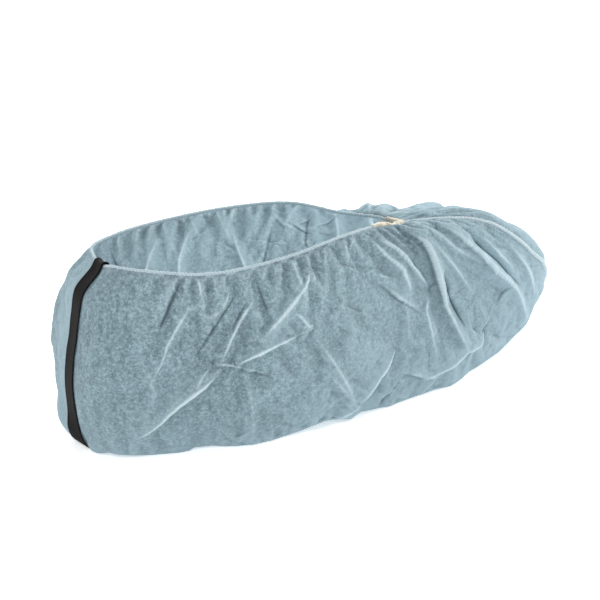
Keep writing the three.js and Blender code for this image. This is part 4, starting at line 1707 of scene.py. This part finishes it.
@dataclass
class FrontSeam:
    """The overlocked seam from the opening over the toe."""

    form: CoverForm
    cloth: bpy.types.Material
    thread: bpy.types.Material
    width: float = 2.1 * MM
    rise: float = 1.3 * MM
    stitch: float = 2.2 * MM
    pinch: float = 0.10
    thread_radius: float = 0.16 * MM
    thread_stand: float = 0.12 * MM
    wander: float = 0.18 * MM
    wander_length: float = 5 * MM
    longest: float = 160 * MM
    rows: int = 260
    sides: int = 12
    low: float = 0.04
    high: float = 0.995
    seed: int = 3

    def frames(self, ups: np.ndarray) -> tuple[np.ndarray, np.ndarray, np.ndarray]:
        """Points on the wall along the seam, the way across and the way out.

        Args:
            ups: heights from 0 at the tread to 1 at the rim.

        Returns:
            Points, and two directions of length one for each of them.
        """
        share = self.form.seam_share(ups)
        out = self.form.normal(share, ups)
        base = self.form.wall(share, ups)
        ahead = unit(np.gradient(base, axis=0))
        return base, unit(np.cross(ahead, out)), out

    def build(self) -> None:
        """Make the raised seam and its stitches."""
        base, across, out = self.frames(np.linspace(self.low, self.high, self.rows))
        run = arc_length(base, 0)
        rng = np.random.default_rng(self.seed)
        knots = np.arange(0, self.longest, self.wander_length)
        wander = self.wander * np.interp(run, knots, rng.normal(0, 1, len(knots)))
        base = base + across * wander[:, None]
        angle = math.pi * np.arange(self.sides + 1) / self.sides
        pinch = 1 + self.pinch * np.sin(2 * math.pi * run / self.stitch)[:, None]
        x = np.cos(angle)[None, :] * self.width / 2 * pinch
        y = np.sin(angle)[None, :] ** 0.8 * self.rise * (0.85 + 0.15 * pinch) - 0.1 * MM
        points = base[:, None] + x[..., None] * across[:, None] + y[..., None] * out[:, None]
        faces = ring_faces(self.rows, self.sides + 1)
        faces[-2:] = [cap[::-1] for cap in faces[-2:]]  # the end caps face outwards
        seam = mesh_piece("front_seam_fold", points, faces)
        set_flat(seam, run[:, None], angle[None, :] * self.width / 2)
        set_shade(seam, PALE, 1.0)
        set_shade(seam, CLEAR, 1.0)
        dress(seam, self.cloth, "thread", "front_seam")
        dress(self.stitches(base, across, out, run), self.thread, "thread")

    def stitches(
        self, base: np.ndarray, across: np.ndarray, out: np.ndarray, run: np.ndarray
    ) -> bpy.types.Object:
        """The thread that runs to and fro over the seam.

        Args:
            base: points along the seam.
            across: the way across it at each point.
            out: the way out at each point.
            run: length along the seam at each point.

        Returns:
            The piece.
        """
        count = int(run[-1] / self.stitch)
        fine = np.linspace(0, run[-1], count * 16)

        def follow(values: np.ndarray) -> np.ndarray:
            """Values of the seam's rows at the fine lengths."""
            return np.stack([np.interp(fine, run, values[:, k]) for k in range(3)], -1)

        swing = np.sin(2 * math.pi * fine / self.stitch)
        angle = math.pi * (0.5 + 0.46 * swing)
        x = np.cos(angle) * (self.width / 2 + self.thread_stand)
        y = np.sin(angle) ** 0.8 * (self.rise + self.thread_stand)
        path = follow(base) + x[:, None] * follow(across) + y[:, None] * follow(out)
        return tube("front_seam_thread", path, self.thread_radius, 5, closed=False)


@dataclass
class HeelRibbon:
    """The conductive ribbon: under the heel, up its back, over the rim and down inside."""

    form: CoverForm
    material: bpy.types.Material
    width: float = 12 * MM
    thickness: float = 0.7 * MM
    solid_thickness: float = 1.0 * MM  # of the CAD ribbon, whose middle it shares
    side: float = 3.5 * MM
    slant: float = 2.6 * MM
    slant_top: float = 0.45
    waver: float = 0.30 * MM
    waver_length: float = 9 * MM
    under: float = 32 * MM
    inside: float = 46 * MM
    columns: int = 25
    steps: tuple[int, int, int, int] = (40, 110, 22, 60)  # under, up the heel, over, down inside
    seed: int = 9

    def start(self) -> float:
        """Share of the loop at which the ribbon's middle leaves the tread."""
        step = self.form.tread_edge(np.array(STEP)) - self.form.tread_edge(np.array(0.0))
        return float(STEP * self.side / np.linalg.norm(step))

    def share(self, side: float, up: np.ndarray) -> np.ndarray:
        """Shares of the loop that lie a length beside the ribbon's middle, at heights.

        Args:
            side: length to the outer side; the ribbon's lower end slants further that way.
            up: heights from 0 at the tread to 1 at the rim.

        Returns:
            One share for each height.
        """
        start = self.start()
        ahead = self.form.wall(np.full_like(up, start + STEP), up)
        step = np.linalg.norm(ahead - self.form.wall(np.full_like(up, start), up), axis=-1)
        return start + STEP * (side + self.slant * (1 - smoothstep(0, self.slant_top, up))) / step

    def line(self, side: float) -> np.ndarray:
        """The ribbon's middle surface along one of its lines.

        Args:
            side: length from the ribbon's middle to the line.

        Returns:
            Points from the end under the heel to the end that hangs inside.
        """
        stand = self.form.gap + self.solid_thickness / 2
        under_steps, heel_steps, over_steps, inside_steps = self.steps
        ups = np.linspace(0.035, 0.985, heel_steps)
        shares = self.share(side, ups)
        heel = self.form.wall(shares, ups) + self.form.normal(shares, ups) * stand
        start, low = np.array(self.start()), np.zeros(1)
        out = self.form.outward(start)
        base = self.form.wall(self.share(side, low), low)[0]
        end = self.form.tread_edge(start) - out * self.under + np.cross(UP, out) * (side + self.slant)
        t = np.linspace(0, 1, under_steps)[:, None]
        under = end * (1 - t) + (base + out * stand * 0.6) * t
        under[:, 2] = self.solid_thickness / 2
        centre, _, away = (v[0] for v in self.form.rim_frame(self.share(side, np.array([1.0]))))
        radius = self.form.elastic_height / 2 + stand
        turn = np.linspace(math.atan2(away @ UP, away @ out), math.pi, over_steps)
        over = centre + radius * turned(turn, out, UP)
        down = over[-1] - UP * self.inside * np.linspace(0.02, 1, inside_steps)[:, None]
        return np.concatenate([under, heel, over, down])

    def build(self) -> None:
        """Make the ribbon with its thicker selvedges and a slight waver."""
        offsets = np.linspace(-0.5, 0.5, self.columns) * self.width
        lines = np.stack([self.line(offset) for offset in offsets], 1)
        run = arc_length(lines[:, self.columns // 2], 0)
        rng = np.random.default_rng(self.seed)
        knots = np.arange(0, run[-1] + self.waver_length, self.waver_length)
        waver = self.waver * np.interp(run, knots, rng.normal(0, 1, len(knots)))
        across = unit(lines[:, -1] - lines[:, 0])
        middle = soften_rows(lines, 3) + across[:, None] * waver[:, None, None]
        along = unit(np.gradient(middle, axis=0))
        out = unit(np.cross(np.gradient(middle, axis=1), along))
        low_on_heel = out[self.steps[0] + 20, 0]
        if low_on_heel @ self.form.outward(np.array(0.0)) < 0:
            out = -out
        beside = np.abs(offsets) / self.width
        edge = smoothstep(0.34, 0.46, beside)
        half = self.thickness / 2 * (0.85 + 0.35 * edge) * (1 - 0.5 * smoothstep(0.49, 0.50, beside))
        thick = out * half[None, :, None]
        ring = np.concatenate([middle + thick, (middle - thick)[:, ::-1]], 1)
        ribbon = mesh_piece("heel_ribbon", ring, ring_faces(*ring.shape[:2]))
        set_flat(ribbon, np.concatenate([offsets, offsets[::-1]])[None, :], run[:, None])
        set_attribute(ribbon, PALE, np.tile(np.concatenate([edge, edge[::-1]]), len(ring)))
        dress(ribbon, self.material, "ribbon", "conductive_strip")


def soften_rows(points: np.ndarray, passes: int) -> np.ndarray:
    """A grid of points smoothed along its rows' direction, ends kept.

    Args:
        points: a grid of points.
        passes: how often it is smoothed.

    Returns:
        The smoothed grid.
    """
    for _ in range(passes):
        points = points.copy()
        points[1:-1] = 0.5 * points[1:-1] + 0.25 * (points[:-2] + points[2:])
    return points


@dataclass
class Studio:
    """Pale floor, soft light and the camera."""

    # The camera's values come from the fit that the form's curves come from
    azimuth: float = -26.15
    elevation: float = 26.68
    roll: float = 0.64
    distance: float = 1.1433
    target: tuple[float, float, float] = (0.00040, 0.00406, 0.050)
    lens: float = 121.0
    shift: tuple[float, float] = (-0.02865, 0.00493)
    floor_half: float = 30.0
    lamp_distance: float = 1.4
    lamp_aim: float = 0.04

    def floor(self, material: bpy.types.Material) -> None:
        """A wide floor under the cover.

        Args:
            material: its material.
        """
        points = self.floor_half * np.array([[-1, -1, 0], [1, -1, 0], [1, 1, 0], [-1, 1, 0]], float)
        plane = mesh_piece("floor", points, [[0, 1, 2, 3]])
        plane.data.materials.append(material)
        plane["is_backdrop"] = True

    def camera(self) -> None:
        """The camera, low on the outer side and turned a little towards the toe."""
        az, el, roll = (math.radians(v) for v in (self.azimuth, self.elevation, self.roll))
        back = Vector((math.sin(az) * math.cos(el), -math.cos(az) * math.cos(el), math.sin(el)))
        right = Vector((math.cos(az), math.sin(az), 0))
        top = back.cross(right)
        turned = right * math.cos(roll) - top * math.sin(roll)
        upward = right * math.sin(roll) + top * math.cos(roll)
        data = bpy.data.cameras.new("camera")
        data.lens, data.sensor_width = self.lens, 36.0
        data.shift_x, data.shift_y = self.shift
        data.clip_start, data.clip_end = 0.05, 50
        camera = bpy.data.objects.new("camera", data)
        place = Vector(self.target) + back * self.distance
        camera.matrix_world = Matrix((turned, upward, back)).transposed().to_4x4()
        camera.location = place
        bpy.context.scene.collection.objects.link(camera)
        bpy.context.scene.camera = camera

    def light(self, name: str, azimuth: float, elevation: float, size: float, power: float) -> None:
        """A square soft light aimed at the cover.

        Args:
            name: its name.
            azimuth: degrees round the object, as for the camera.
            elevation: degrees above the floor.
            size: side of the square, in metres.
            power: watts.
        """
        az, el = math.radians(azimuth), math.radians(elevation)
        back = Vector((math.sin(az) * math.cos(el), -math.cos(az) * math.cos(el), math.sin(el)))
        data = bpy.data.lights.new(name, "AREA")
        data.energy, data.size = power, size
        lamp = bpy.data.objects.new(name, data)
        lamp.location = Vector((0, 0, self.lamp_aim)) + back * self.lamp_distance
        lamp.rotation_euler = back.to_track_quat("Z", "Y").to_euler()
        bpy.context.scene.collection.objects.link(lamp)

    def sky(self, strength: float) -> None:
        """Even light from all round.

        Args:
            strength: its strength.
        """
        world = bpy.data.worlds.new("soft_white_room")
        world.use_nodes = True
        world.node_tree.nodes.clear()
        room = add_node(
            world.node_tree, "ShaderNodeBackground", None, {"Color": linear("f6f9fc"), "Strength": strength}
        ).outputs[0]
        add_node(world.node_tree, "ShaderNodeOutputWorld", None, {"Surface": room})
        bpy.context.scene.world = world

    def build(self, table: bpy.types.Material) -> None:
        """Set up floor, camera and lights.

        Args:
            table: the floor's material.
        """
        self.floor(table)
        self.camera()
        self.light("key_softbox", -52, 50, 0.35, 6)
        self.light("toe_softbox", 88, 18, 1.2, 19)
        self.light("back_softbox", 158, 36, 1.4, 20)
        self.sky(0.52)
        view = bpy.context.scene.view_settings
        view.view_transform, view.look = "Standard", "None"


def main() -> None:
    """Build the pieces round the frame, in order."""
    logging.basicConfig(level=logging.INFO, format="%(name)s: %(message)s", stream=sys.stdout)
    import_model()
    sizes = {"cad": [list(corner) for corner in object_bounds()]}
    form = CoverForm()
    cloth = SpunbondPolypropylene().build()
    thread = SpunThread().build()
    Studio().build(LitAcrylic().build())
    ClothBag(ClothGrid(form), cloth).build()
    RolledHem(form, cloth, thread).build()
    ElasticLap(form, SpunThread("covered_elastic", "efe9dc", "cec6b2").build()).build()
    FrontSeam(form, cloth, thread).build()
    HeelRibbon(form, CarbonRibbon().build()).build()
    sizes["visual"] = [list(corner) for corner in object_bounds()]
    for name in sizes:
        log.info("%s box %s", name, [[round(v, 4) for v in corner] for corner in sizes[name]])


if __name__ == "__main__":
    main()
